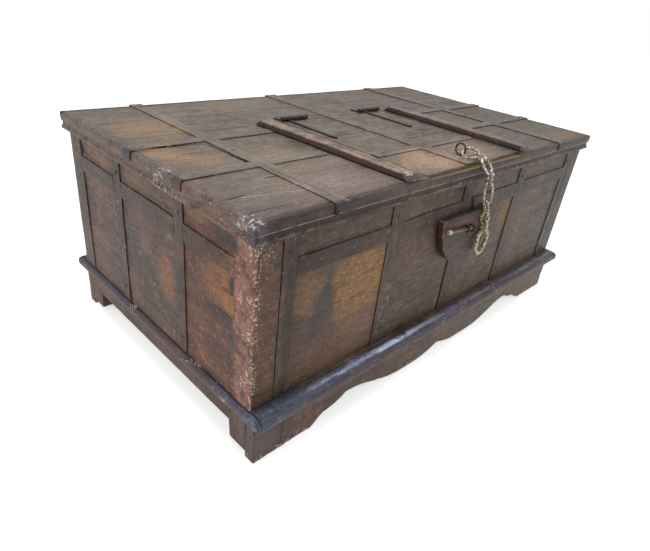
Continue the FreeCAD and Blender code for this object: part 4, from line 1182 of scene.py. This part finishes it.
def strip(pile, profile, rounds, half_length, side, seed, step, swell, wear, drop=None, lead=0.0):
    """Moulded strip along one side of the chest, mitred at its ends.

    profile is a closed list of (out, height) from the wall, rounds numbers its worn corners.
    side is (axis along the wall, axis out of it, sign of the way out, distance of the wall).
    drop is (start, end, height) of a length that is cut lower. lead is how far the neighbouring
    strips stand out of their walls more than this one.
    """
    profile = np.array(profile, float)
    along_axis, out_axis, sign, wall = side
    count = len(profile)
    ring = np.vstack((profile, profile[:1]))
    arc = np.concatenate(([0], np.cumsum(np.linalg.norm(np.diff(ring, axis=0), axis=1))))
    total, arc = arc[-1], arc[:-1]
    gap = np.abs(arc[:, None] - arc[list(rounds)][None, :])
    arris_way = np.minimum(gap, total - gap).min(axis=1)
    way = np.roll(profile, -1, axis=0) - np.roll(profile, 1, axis=0)
    normal = np.stack([way[:, 1], -way[:, 0]], axis=1)
    normal /= np.maximum(1e-9, np.linalg.norm(normal, axis=1))[:, None]
    follow = np.roll(profile, -1, axis=0)
    area = 0.5 * np.sum(profile[:, 0] * follow[:, 1] - follow[:, 0] * profile[:, 1])
    if area < 0:
        normal = -normal
    stations = np.linspace(-half_length, half_length, round(2 * half_length / (step * MM)) + 1)
    if drop:
        start, end, drop_height = drop
        stations = np.unique(np.concatenate((stations, (start, start + 2e-4, end - 2e-4, end))))
    mitre = 0.1  # length over which a strip grows or shrinks to its end
    points, ways = [], []
    for place in stations:
        grow = max(0.0, (abs(place) - (half_length - mitre)) / mitre)
        for (out, height), (n_out, n_up) in zip(profile, normal):
            if drop and start + 1e-4 < place < end - 1e-4:
                height = min(height, drop_height)
            point = np.zeros(3)
            point[along_axis] = place + math.copysign(max(0.0, out + lead) * grow, place)
            point[out_axis] = sign * (wall + out)
            point[2] = height
            points.append(point)
            outward = np.zeros(3)
            outward[out_axis], outward[2] = sign * n_out, n_up
            ways.append(outward)
    points, ways = np.array(points), np.array(ways)
    arris_all = np.tile(arris_way, len(stations))
    moved = moved_out(points, arris_all, seed, swell, wear, chip=0.019, fine=0.007, wave=0.08)
    on_wall = points[:, out_axis] * sign < wall + 0.0005
    points = points + ways * np.where(on_wall, 0, moved)[:, None]
    faces = []
    for here in range(0, (len(stations) - 1) * count, count):
        there = here + count
        for index in range(count):
            after = (index + 1) % count
            faces.append((here + index, there + index, there + after, here + after))
    faces.append(tuple(range(count)))
    faces.append(tuple(reversed(range((len(stations) - 1) * count, len(stations) * count))))
    turned = (area > 0) == (sign * (1 if (along_axis, out_axis) == (1, 0) else -1) > 0)
    if turned:
        faces = [face[::-1] for face in faces]
    pile.add(points, faces, arris_all, np.eye(3)[along_axis], seed)


def arc_points(middle, radius, start, end, count):
    """Points of an arc in a profile, angles in degrees."""
    return [(middle[0] + radius * math.cos(math.radians(a)), middle[1] + radius * math.sin(math.radians(a)))
            for a in np.linspace(start, end, count)]


# Each side's axis along the wall, axis out of it, and sign of the way out.
SIDES = {"front": (0, 1, -1), "back": (0, 1, 1), "left": (1, 0, -1), "right": (1, 0, 1)}


def wall_side(side):
    """A side as strip() takes it, and half the length of its wall."""
    along_axis, out_axis, sign = SIDES[side]
    walls = (WALL_X, WALL_Y)
    return (along_axis, out_axis, sign, walls[out_axis]), walls[along_axis]


def build_base_moulding():
    """Bull-nosed moulding above the plinth."""
    top_round, under_round, flat = 0.0165, 0.0110, 0.001
    for number, side in enumerate(SIDES):
        place, half = wall_side(side)
        at_end = side in ("left", "right")
        reach = MOULDING_ENDS if at_end else MOULDING_SIDES
        inner = reach - MOULDING_SIDES * 0.5 if at_end else 0.0
        profile = [(inner, 0.1350), (reach - top_round - flat, 0.1345)]
        profile += arc_points((reach - top_round, 0.1180), top_round, 88, 2, 11)
        profile += arc_points((reach - under_round, 0.1130), under_round, -2, -88, 11)
        profile += [(reach - under_round - flat, PLINTH_TOP), (inner, PLINTH_TOP)]
        pile = Pile()
        strip(pile, profile, (1, 12, 24), half, place, number * 0.7, swell=0.5, wear=0.7, step=8.0,
              lead=(MOULDING_SIDES - MOULDING_ENDS) * (1 if at_end else -1))
        pile.piece(side + "_base_moulding", "moulding_wood", "chest", "base_moulding_" + side)


def build_top_edge():
    """Moulded strip round the top, cut lower before the hatch and worn round at the left end."""
    out = 0.0145
    for number, side in enumerate(SIDES):
        place, half = wall_side(side)
        profile = [(0.0, TOP_Z), (out - 0.0045, TOP_Z), (out - 0.0022, 0.5293), (out - 0.0005, 0.5275),
                   (out, 0.5250), (out, 0.5165), (out - 0.0004, 0.5120), (out - 0.0012, 0.5085),
                   (out - 0.0028, 0.5070), (out - 0.0030, 0.5030), (out - 0.0024, 0.4990), (out - 0.0008, 0.4975),
                   (out, 0.4955), (out, 0.4920), (out - 0.0006, 0.4900), (out - 0.0020, 0.4890), (0.0, 0.489)]
        worn = side == "left"
        if worn:
            profile[1:5] = [(out - 0.0085, TOP_Z), (out - 0.0045, 0.5287), (out - 0.0014, 0.5262), (out, 0.5225)]
        pile = Pile()
        strip(pile, profile, (2, 7, 11, 14), half, place, number * 0.9 + 0.3, wear=2.0 if worn else 1.0,
              swell=0.9 if worn else 0.45, step=6.0, drop=(-0.198, 0.204, 0.525) if side == "front" else None)
        pile.piece(side + "_edge_strip", "edge_wood", "chest", "top_edge_" + side)


def build_top_boards():
    """Fixed boards of the top."""
    boards("rear_top_boards", "top_wood", "top_boards_rear", arris=0.9, swell=0.5)
    boards("left_top_boards", "top_wood", "top_boards_left", arris=0.9, swell=0.5, grain=(1, 0, 0))
    boards("right_top_boards", "top_wood", "top_boards_right", arris=1.2, swell=0.5, grain=(1, 0, 0))


def build_under_top():
    """Battens under the top."""
    boards("trimmers", "inside_wood", "hatch_trimmers", step=30)
    boards("header", "inside_wood", "hatch_header", step=30)
    boards("battens", "inside_wood", "top_battens", step=30)


def rail(side, number, askew):
    """Batten with rounded ends, narrower at its worn top; askew ones lean right at the front."""
    low, high = box_of("rail_" + side)
    middle = (low[0] + high[0]) / 2

    def worn(points):
        points = points.copy()
        share = (points[:, 2] - low[2]) / (high[2] - low[2])
        for end, way in ((low[1], 1), (high[1], -1)):
            near = np.clip(1 - (points[:, 1] - end) * way / 0.016, 0, 1)
            points[:, 2] -= near ** 1.4 * share * 0.0085
        points[:, 0] = middle + (points[:, 0] - middle) * (1 - 0.16 * share)
        points[:, 0] += lumps(points * (0, 1, 0), 0.10, number + 5.0) * 0.0012 * share
        if askew:
            forward = (high[1] - points[:, 1]) / (high[1] - low[1])
            points[:, 0] = middle + (points[:, 0] - middle) * (1 + 0.12 * forward) + 0.017 * forward
        points[:, 2] += (lumps(points * (1, 1, 0), 0.045, number + 7.0) * 0.0011 - 0.0008) * share
        return points

    pile = Pile()
    board(pile, low, high, arris=4.5, step=6, wear=2.2, swell=0.5, seed=0.3 + number, shape=worn)
    pile.piece(side + "_rail", "rail_wood", "chest", "rail_" + side)


def build_rails():
    """Two worn battens beside the hatch."""
    rail("left", 0, askew=True)
    rail("right", 1, askew=False)


def over_top(low, high, axis, turned_low, turned_high):
    """Path of a strap that lies on the top and turns down where it reaches an edge."""
    start, end, inset = low[axis], high[axis], PLATE / 2
    path = [(start + inset, low[2]), (start + inset, PLATE_Z)] if turned_low else [(start, PLATE_Z)]
    return path + ([(end - inset, PLATE_Z), (end - inset, low[2])] if turned_high else [(end, PLATE_Z)])


def build_top_irons():
    """Straps along and across the top, turned down over the edges."""
    pile = Pile()
    for number, (low, high) in enumerate(solids("top_straps")):
        path = over_top(low, high, 1, low[1] < -0.376, True)
        strap(pile, path, low[0], high[0], "yz", number * 0.51)
    pile.piece("long_top_straps", "top_iron", "chest", "top_straps")
    pile = Pile()
    for number, (low, high) in enumerate(solids("top_cross_straps")):
        path = over_top(low, high, 0, low[0] < -0.65, high[0] > 0.65)
        strap(pile, path, low[1], high[1], "xz", number * 0.43 + 0.2)
    pile.piece("short_top_straps", "top_iron", "chest", "top_cross_straps")


def build_wall_irons():
    """Straps and corner irons of the walls."""
    nodes = {"front": "front_straps", "back": "back_straps", "left": "left_end_straps", "right": "right_end_straps"}
    for side, node in nodes.items():
        boards(side + "_wall_straps", "wall_iron", node, arris=1.1, step=9, wear=0.9, swell=0.4)
    leg = 0.054
    pile = Pile()
    for number, (low, high) in enumerate(solids("corner_angles")):
        x_sign, y_sign = math.copysign(1, low[0]), math.copysign(1, low[1])
        x_out, y_out = x_sign * PLATE_X, y_sign * PLATE_Y
        path = [(x_sign * (WALL_X - leg), y_out), (x_out, y_out), (x_out, y_sign * (WALL_Y - leg))]
        strap(pile, path, low[2], high[2], "xy", number * 0.61, bend=3.0, step=9.0, swell=0.5, wear=1.4)
    pile.piece("corner_irons", "wall_iron", "chest", "corner_angles")


def build_hatch():
    """Boards, cleats and straps of the hatch."""
    boards("hatch_planks", "top_wood", "hatch_boards", "hatch", arris=2.2, wear=1.2, swell=0.35, grain=(1, 0, 0))
    boards("hatch_battens", "inside_wood", "hatch_cleats", "hatch", step=30)
    boards("hatch_irons", "top_iron", "hatch_straps", "hatch", arris=1.1, step=9, wear=0.9, swell=0.4)


def dress_solid(node, slot):
    """CAD node that is shown as it is, with its finish."""
    mesh = frame["nodes"][node].data
    mesh.materials.clear()
    mesh.materials.append(finish_of(slot))


def build_hinges():
    """The hinges keep their solids and get their iron."""
    for node in ("hinge_leaves", "hinge_tails", "hinge_pins"):
        dress_solid(node, "hinge_iron")


def joint_data():
    """Places of the chain's pivots and the bars they turn about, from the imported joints."""
    joints = {joint["name"]: joint for joint in frame["joints"]}
    names = ["link_%d_swing" % index for index in range(1, 9)] + ["end_ring_swing"]
    return [(np.array(joints[name]["pos_m"]), np.array(joints[name]["axis"])) for name in names]


def build_links(pivots, wire, ring_bar):
    """Eight links in turn: odd ones span two pivots, even ones reach round their neighbours' bars."""
    play = 0.0004
    for index in range(1, 9):
        (start, bar_way), (end, next_way) = pivots[index - 1], pivots[index]
        along = (end - start) / np.linalg.norm(end - start)
        if index % 2 == 1:
            track, plane = oval(start, end, bar_way, 0.014 if index < 4 else 0.0105)
        else:
            far_bar = ring_bar if index == 8 else wire
            start = start - along * (play + wire + wire)
            end = end + along * (play + wire + far_bar)
            both = bar_way + next_way
            both -= along * np.dot(both, along)
            track, plane = oval(start, end, np.cross(along, both), wire + far_bar + play)
        pile = Pile()
        bar(pile, track, plane, wire, True, index * 0.7, rough=0.4)
        slot = "chain_steel" if index < 6 else "chain_brass"
        pile.piece("link_%d_bar" % index, slot, "link_%d" % index, "chain_link_%d" % index)


def build_end_ring(start, bar_way, ring_bar):
    """Long ring that hangs from the last link and narrows to a blunt point."""
    lean = math.radians(6)
    down = np.array((math.sin(lean), 0, -math.cos(lean)))
    end = start + down * 0.066
    track, plane = oval(start, end, bar_way, 0.024, 16)
    middle = (start + end) / 2
    pointed = []
    for point in track:
        along = np.dot(point - middle, down)
        across = point - middle - down * along
        low = np.clip(along / 0.033, 0, 1)
        pointed.append(middle + down * (along + 0.003 * low ** 3) + across * (1 - 0.22 * low ** 2))
    pile = Pile()
    bar(pile, pointed, plane, ring_bar, True, 4.4, rough=0.6, sides=18)
    pile.piece("pointed_ring", "chain_brass", "end_ring", "chain_end_ring")


def build_eye():
    """Eye that holds the chain, and its neck in the hatch."""
    low, high = box_of("chain_eye")
    radius, wire = 0.0135, 0.0045
    middle = np.array(((low[0] + high[0]) / 2, (low[1] + high[1]) / 2, TOP_Z + radius + wire / 4))
    turn = math.radians(2)
    forward = np.array((-math.sin(turn), -math.cos(turn), 0))
    upward = np.array((0, 0, 1))
    angles = np.linspace(0, 2 * math.pi, 48, endpoint=False)
    pile = Pile()
    bar(pile, [middle + radius * (forward * math.cos(a) + upward * math.sin(a)) for a in angles],
        np.cross(forward, upward), wire / 2, True, 2.2, rough=0.3)
    neck = [middle + upward * z for z in np.linspace(0.519 - middle[2], 0.5325 - middle[2], 6)]
    bar(pile, neck, forward, 0.003, False, 2.9, rough=0.3)
    pile.piece("eye_bolt", "dark_iron", "hatch", "chain_eye")


def build_chain():
    """Eye, eight links and the pointed end ring."""
    pivots = joint_data()
    settings = bpy.context.scene.sea_chest
    ring_bar = settings.ring_wire / 2
    build_links(pivots, settings.chain_wire / 2, ring_bar)
    build_end_ring(*pivots[8], ring_bar)
    build_eye()


def build_block():
    """Shield-shaped block behind the bolt."""
    middle, top, foot, bottom = -0.004, 0.412, 0.304, 0.290
    half, face, back = 0.107, -0.3815, -0.3646

    def half_width(z):
        """Half width of the block at a height: a circle through its corner, shoulder and foot."""
        (x1, z1), (x2, z2), (x3, z3) = (half, top), (0.098, 0.364), (0.058, foot)
        a = np.array(((x2 - x1, z2 - z1), (x3 - x1, z3 - z1))) * 2
        b = np.array((x2 ** 2 + z2 ** 2 - x1 ** 2 - z1 ** 2, x3 ** 2 + z3 ** 2 - x1 ** 2 - z1 ** 2))
        cx, cz = np.linalg.solve(a, b)
        radius = math.hypot(x1 - cx, z1 - cz)
        return cx + np.sqrt(np.maximum(0, radius ** 2 - (z - cz) ** 2))

    def shield(points):
        points = points.copy()
        share = np.clip((points[:, 2] - foot) / (top - foot), 0, 1)
        wide = (points[:, 0] - middle) / half
        points[:, 0] = middle + wide * half_width(foot + share * (top - foot))
        bulge = (foot - bottom) * (1 - np.clip(np.abs(wide), 0, 1) ** 2)
        points[:, 2] -= bulge * (1 - share) ** 3
        return points

    pile = Pile()
    board(pile, (middle - half, face, foot), (middle + half, back, top), arris=3.0, step=5, wear=1.6, swell=0.5,
          seed=0.6, grain=(1, 0, 0), shape=shield)
    pile.piece("shield_block", "block_wood", "chest", "lock_block")


def build_bolt():
    """Round bolt with a turned knob at its left end, sloping up to it."""
    slope, radius = math.radians(7), 0.0045
    along = np.array((-math.cos(slope), 0, math.sin(slope)))
    start = np.array((0.024, -0.3815 - 0.0063, 0.371))
    shaft = np.linspace(0.003, 0.104, 30)
    knob = ((0.106, 0.0047), (0.108, 0.0053), (0.110, 0.0058), (0.112, 0.0060), (0.115, 0.0061),
            (0.118, 0.0060), (0.120, 0.0057), (0.1215, 0.0050), (0.122, 0.0040))
    turning = [(0, 0.0036), (0.0008, 0.0044)] + [(place, radius) for place in shaft] + list(knob)
    pile = Pile()
    bar(pile, [start + along * place for place, _ in turning], (0, -1, 0), radius, False, 1.3, rough=0.25,
        sides=18, sizes=[size for _, size in turning])
    pile.piece("bolt_bar", "bolt_iron", "bolt", "bolt")


def build_lock():
    """Shield-shaped block, bolt, keepers and staple."""
    build_block()
    build_bolt()
    dress_solid("bolt_keepers", "dark_iron")
    dress_solid("hasp_staple", "dark_iron")


def nail(pile, low, high, head, number):
    """Domed head on the outer side of a nail's solid, not quite round."""
    rings, sides, rise = 5, 12, 0.0017
    axis = int(np.argmin(high - low))
    inner = 0.5 if axis == 2 else 0.0
    out = np.zeros(3)
    out[axis] = 1.0 if (low[axis] + high[axis]) / 2 > inner else -1.0
    centre = (low + high) / 2 - out * (high - low)[axis] / 2
    side = np.roll(out, 1)
    other = np.cross(out, side)
    points = []
    for ring in range(rings):
        lift = math.sin(ring / rings * math.pi / 2)
        width = math.cos(ring / rings * math.pi / 2)
        for turn in np.linspace(0, 2 * math.pi, sides, endpoint=False):
            reach = head * width * (1 + 0.10 * math.sin(turn * 3 + number * 1.7))
            points.append(centre + out * rise * lift + (side * math.cos(turn) + other * math.sin(turn)) * reach)
    points.append(centre + out * rise)
    faces = [tuple(reversed(range(sides)))]
    for ring in range(rings - 1):
        faces += band(ring * sides, (ring + 1) * sides, sides)
    last = (rings - 1) * sides
    faces += [(last + index, last + (index + 1) % sides, rings * sides) for index in range(sides)]
    pile.add(np.array(points), faces, 0.004, (1, 0, 0), number * 0.21)


def build_nails():
    """Domed nail heads, a little uneven."""
    head = bpy.context.scene.sea_chest.nail_head / 2
    for place, slot, body in (("wall", "wall_iron", "chest"), ("top", "top_iron", "chest"),
                              ("hatch", "top_iron", "hatch")):
        node = place + "_nails"
        pile = Pile()
        for number, (low, high) in enumerate(solids(node)):
            nail(pile, low, high, head, number)
        pile.piece(place + "_nail_heads", slot, body, node)


def build_small_irons():
    """Bent nail and a nail's head on the front, and the clinched nail under the left strap's end."""
    pile = Pile()
    hook = ((0.024, 0.436), (0.025, 0.427), (0.027, 0.419), (0.032, 0.413), (0.039, 0.411), (0.047, 0.413))
    bar(pile, [(x, -0.3659, z) for x, z in hook], (0, -1, 0), 0.0017, False, 0.4, rough=0.3, sides=10)
    bar(pile, [(0.0235, -0.3645 - depth, 0.438) for depth in (0.0, 0.0012, 0.0024)], (1, 0, 0), 0.0036, False, 0.9,
        rough=0.4, sides=12, sizes=(0.0040, 0.0042, 0.0026))
    bar(pile, [(-0.4735, -0.3785 - depth, 0.5135) for depth in (-0.002, 0.0012, 0.0024)], (1, 0, 0), 0.004, False,
        1.4, rough=0.4, sides=12, sizes=(0.0046, 0.0048, 0.0030))
    pile.piece("bent_nails", "dark_iron", "chest")


# ---------------------------------------------------------------- stage
def build_stage(settings):
    """Pale floor, soft lights and the camera."""
    scene = bpy.context.scene
    size = 14.0
    mesh = bpy.data.meshes.new("studio_floor")
    mesh.from_pydata([(-size, -size, 0), (size, -size, 0), (size, size, 0), (-size, size, 0)], [], [(0, 1, 2, 3)])
    floor = bpy.data.objects.new("studio_floor", mesh)
    scene.collection.objects.link(floor)
    p = Paint("floor_finish")
    shine = p.node("ShaderNodeEmission", values={"Color": WHITE, "Strength": settings.floor_glow})
    matt = p.node("ShaderNodeBsdfDiffuse", values={"Color": (0.82, 0.82, 0.82, 1.0)})
    lit = p.node("ShaderNodeAddShader", values=(matt, shine))
    p.send(p.node("ShaderNodeMixShader", values=(p.seen(), matt, lit)))
    mesh.materials.append(p.material)

    world = bpy.data.worlds.new("studio_light")
    scene.world = world
    sky = Nodes(world)
    ambient = sky.node("ShaderNodeBackground", values={"Color": WHITE, "Strength": settings.ambient})
    backdrop = sky.node("ShaderNodeBackground", values={"Color": WHITE, "Strength": 1.0})
    sky.send(sky.node("ShaderNodeMixShader", values=(sky.seen(), ambient, backdrop)), "ShaderNodeOutputWorld")

    for name, place, size, power, tint in (
            ("sky_light", (-0.6, -0.4, 3.2), 1.3, settings.key, (1.0, 0.99, 0.97)),
            ("front_light", (0.9, -3.2, 1.7), 0.9, settings.fill, (0.93, 0.96, 1.0)),
            ("side_light", (-3.3, 0.4, 1.5), 1.0, settings.side, (1.0, 0.98, 0.95))):
        lamp = bpy.data.lights.new(name, "AREA")
        lamp.shape = "SQUARE"
        lamp.size = size
        lamp.energy = power
        lamp.color = tint
        light = bpy.data.objects.new(name, lamp)
        light.location = place
        light.rotation_euler = (Vector(place) - Vector((0, 0, 0.3))).to_track_quat("Z", "Y").to_euler()
        scene.collection.objects.link(light)

    lens = bpy.data.cameras.new("camera")
    lens.sensor_width = 36.0
    lens.sensor_fit = "HORIZONTAL"
    lens.lens = settings.lens
    lens.clip_start = 0.05
    lens.clip_end = 60.0
    camera = bpy.data.objects.new("camera", lens)
    az, el, roll = settings.camera_turn, settings.camera_tilt, settings.camera_roll
    back = Vector((math.sin(az) * math.cos(el), -math.cos(az) * math.cos(el), math.sin(el)))
    right = (-back).cross(UP).normalized()
    up = right.cross(-back)
    across = math.cos(roll) * right + math.sin(roll) * up
    upward = -math.sin(roll) * right + math.cos(roll) * up
    camera.matrix_world = Matrix((
        (across.x, upward.x, back.x, settings.camera_place[0]),
        (across.y, upward.y, back.y, settings.camera_place[1]),
        (across.z, upward.z, back.z, settings.camera_place[2]),
        (0, 0, 0, 1)))
    scene.collection.objects.link(camera)
    scene.camera = camera
    scene.view_settings.view_transform = "Standard"


# ---------------------------------------------------------------- add-on
def colour_choice(name, description, *steps):
    """Colour setting, its default in 0 to 255 steps."""
    return bpy.props.FloatVectorProperty(
        name=name, description=description, default=tone(*steps), min=0.0, max=1.0, subtype="COLOR")


def number_choice(name, description, default, **limits):
    """Number setting with its limits and its unit."""
    return bpy.props.FloatProperty(name=name, description=description, default=default, **limits)


def size_choice(name, description, default):
    """Length setting in metres."""
    return number_choice(name, description, default, min=0.0, unit="LENGTH", precision=4)


class ChestSettings(bpy.types.PropertyGroup):
    """Colours and sizes of the chest that a user would change, and its stage."""

    top_colour: colour_choice("Top", "Stain of the top and the hatch", 104, 95, 86)
    edge_colour: colour_choice("Top edge", "Stain of the strip round the top", 74, 62, 54)
    front_colour: colour_choice("Long walls", "Stain of the long walls", 84, 68, 57)
    front_right_colour: colour_choice("Long walls, right", "Faded stain of the long walls to the right", 85, 75, 66)
    glow_colour: colour_choice("Golden panel", "Wood that shows through in the first front panel", 146, 108, 68)
    end_colour: colour_choice("Short walls", "Stain of the short walls", 94, 75, 67)
    near_end_colour: colour_choice("Near end panel", "Richer stain of the near end panel", 97, 66, 53)
    moulding_colour: colour_choice("Base moulding", "Varnish of the base moulding", 60, 48, 50)
    plinth_colour: colour_choice("Plinth", "Stain of the plinth", 86, 67, 59)
    plinth_right_colour: colour_choice("Plinth, right", "Faded stain of the plinth to the right", 96, 84, 70)
    rail_colour: colour_choice("Rails", "Varnish of the two rails", 52, 33, 34)
    block_colour: colour_choice("Lock block", "Stain of the lock block", 61, 50, 44)
    iron_colour: colour_choice("Wall irons", "Old paint on the wall irons", 42, 34, 31)
    inside_colour: colour_choice("Inside", "Bare wood of the inside", 150, 124, 94)
    pale_link_colour: colour_choice("Upper links", "Plating of the upper links", 244, 236, 220)
    golden_link_colour: colour_choice("Lower links", "Plating of the lower links and the end ring", 246, 234, 204)
    chain_wire: size_choice("Chain wire", "Thickness of the links' wire", 0.0064)
    ring_wire: size_choice("End ring wire", "Thickness of the end ring's bar", 0.0100)
    nail_head: size_choice("Nail heads", "Width of the nail heads", 0.0084)
    lens: number_choice("Lens", "Focal length on a 36 mm wide frame", 28.962, min=5.0, unit="CAMERA")
    camera_place: bpy.props.FloatVectorProperty(
        name="Camera place", description="Where the camera stands",
        default=(-1.1026, -0.9418, 0.8602), unit="LENGTH", subtype="XYZ")
    camera_turn: number_choice("Camera turn", "Turn of the camera round the chest", -0.829209, unit="ROTATION")
    camera_tilt: number_choice("Camera tilt", "How far the camera looks down", 0.510732, unit="ROTATION")
    camera_roll: number_choice("Camera roll", "Roll about the line of sight", 0.119840, unit="ROTATION")
    ambient: number_choice("Ambient", "Even light from all round", 0.55, min=0.0)
    key: number_choice("Sky light", "Lamp over the chest", 42.0, min=0.0, unit="POWER")
    fill: number_choice("Front light", "Lamp before the chest", 22.0, min=0.0, unit="POWER")
    side: number_choice("Side light", "Lamp at the left end", 21.0, min=0.0, unit="POWER")
    floor_glow: number_choice("Floor glow", "White that the camera sees on the floor", 0.60, min=0.0)


class CHEST_OT_walls(bpy.types.Operator):
    """Build the planks of the four walls"""

    bl_idname = "chest.walls"
    bl_label = "Walls"
    bl_options = {"REGISTER", "UNDO"}

    def execute(self, context):
        build_walls()
        return {"FINISHED"}


class CHEST_OT_inside(bpy.types.Operator):
    """Build the floor boards, their ledgers and the corner posts"""

    bl_idname = "chest.inside"
    bl_label = "Inside"
    bl_options = {"REGISTER", "UNDO"}

    def execute(self, context):
        build_inside()
        return {"FINISHED"}


class CHEST_OT_plinth(bpy.types.Operator):
    """Build the shaped plinth"""

    bl_idname = "chest.plinth"
    bl_label = "Plinth"
    bl_options = {"REGISTER", "UNDO"}

    def execute(self, context):
        build_plinth()
        return {"FINISHED"}


class CHEST_OT_base_moulding(bpy.types.Operator):
    """Build the bull-nosed base moulding"""

    bl_idname = "chest.base_moulding"
    bl_label = "Base moulding"
    bl_options = {"REGISTER", "UNDO"}

    def execute(self, context):
        build_base_moulding()
        return {"FINISHED"}


class CHEST_OT_top_edge(bpy.types.Operator):
    """Build the moulded strip round the top"""

    bl_idname = "chest.top_edge"
    bl_label = "Edge strip"
    bl_options = {"REGISTER", "UNDO"}

    def execute(self, context):
        build_top_edge()
        return {"FINISHED"}


class CHEST_OT_top_boards(bpy.types.Operator):
    """Build the fixed boards of the top"""

    bl_idname = "chest.top_boards"
    bl_label = "Top boards"
    bl_options = {"REGISTER", "UNDO"}

    def execute(self, context):
        build_top_boards()
        return {"FINISHED"}


class CHEST_OT_under_top(bpy.types.Operator):
    """Build the battens under the top"""

    bl_idname = "chest.under_top"
    bl_label = "Battens under the top"
    bl_options = {"REGISTER", "UNDO"}

    def execute(self, context):
        build_under_top()
        return {"FINISHED"}


class CHEST_OT_rails(bpy.types.Operator):
    """Build the two worn battens beside the hatch"""

    bl_idname = "chest.rails"
    bl_label = "Rails"
    bl_options = {"REGISTER", "UNDO"}

    def execute(self, context):
        build_rails()
        return {"FINISHED"}


class CHEST_OT_top_irons(bpy.types.Operator):
    """Build the straps of the top"""

    bl_idname = "chest.top_irons"
    bl_label = "Top straps"
    bl_options = {"REGISTER", "UNDO"}

    def execute(self, context):
        build_top_irons()
        return {"FINISHED"}


class CHEST_OT_wall_irons(bpy.types.Operator):
    """Build the straps and corner irons of the walls"""

    bl_idname = "chest.wall_irons"
    bl_label = "Wall straps"
    bl_options = {"REGISTER", "UNDO"}

    def execute(self, context):
        build_wall_irons()
        return {"FINISHED"}


class CHEST_OT_hatch(bpy.types.Operator):
    """Build the hatch"""

    bl_idname = "chest.hatch"
    bl_label = "Hatch"
    bl_options = {"REGISTER", "UNDO"}

    def execute(self, context):
        build_hatch()
        return {"FINISHED"}


class CHEST_OT_hinges(bpy.types.Operator):
    """Give the hinges their iron"""

    bl_idname = "chest.hinges"
    bl_label = "Hinges"
    bl_options = {"REGISTER", "UNDO"}

    def execute(self, context):
        build_hinges()
        return {"FINISHED"}


class CHEST_OT_chain(bpy.types.Operator):
    """Build the hasp chain with its eye and its end ring"""

    bl_idname = "chest.chain"
    bl_label = "Chain"
    bl_options = {"REGISTER", "UNDO"}

    def execute(self, context):
        build_chain()
        return {"FINISHED"}


class CHEST_OT_lock(bpy.types.Operator):
    """Build the lock block with its bolt and staples"""

    bl_idname = "chest.lock"
    bl_label = "Lock block"
    bl_options = {"REGISTER", "UNDO"}

    def execute(self, context):
        build_lock()
        return {"FINISHED"}


class CHEST_OT_nails(bpy.types.Operator):
    """Build the nail heads"""

    bl_idname = "chest.nails"
    bl_label = "Nails"
    bl_options = {"REGISTER", "UNDO"}

    def execute(self, context):
        build_nails()
        return {"FINISHED"}


class CHEST_OT_small_irons(bpy.types.Operator):
    """Build the bent and clinched nails"""

    bl_idname = "chest.small_irons"
    bl_label = "Bent nails"
    bl_options = {"REGISTER", "UNDO"}

    def execute(self, context):
        build_small_irons()
        return {"FINISHED"}


class CHEST_OT_stage(bpy.types.Operator):
    """Set the floor, the lights and the camera"""

    bl_idname = "chest.stage"
    bl_label = "Stage"
    bl_options = {"REGISTER", "UNDO"}

    def execute(self, context):
        build_stage(context.scene.sea_chest)
        return {"FINISHED"}


OPERATORS = (
    CHEST_OT_stage, CHEST_OT_walls, CHEST_OT_inside, CHEST_OT_plinth, CHEST_OT_base_moulding, CHEST_OT_top_edge,
    CHEST_OT_top_boards, CHEST_OT_under_top, CHEST_OT_rails, CHEST_OT_top_irons, CHEST_OT_wall_irons,
    CHEST_OT_hatch, CHEST_OT_hinges, CHEST_OT_chain, CHEST_OT_lock, CHEST_OT_nails, CHEST_OT_small_irons,
)


class CHEST_PT_panel(bpy.types.Panel):
    """Panel with the chest's settings and its pieces"""

    bl_idname = "CHEST_PT_panel"
    bl_label = "Sea Chest"
    bl_space_type = "VIEW_3D"
    bl_region_type = "UI"
    bl_category = "Sea Chest"

    def draw(self, context):
        for name in ChestSettings.__annotations__:
            self.layout.prop(context.scene.sea_chest, name)
        for operator in OPERATORS:
            self.layout.operator(operator.bl_idname)


def register():
    for made in (ChestSettings, *OPERATORS, CHEST_PT_panel):
        bpy.utils.register_class(made)
    bpy.types.Scene.sea_chest = bpy.props.PointerProperty(type=ChestSettings)


def unregister():
    del bpy.types.Scene.sea_chest
    for made in reversed((ChestSettings, *OPERATORS, CHEST_PT_panel)):
        bpy.utils.unregister_class(made)


def main():
    """Build everything in order."""
    register()
    for operator in OPERATORS:
        getattr(bpy.ops.chest, operator.bl_idname.split(".")[1])()
    bpy.context.view_layer.update()


if __name__ == "__main__":
    main()
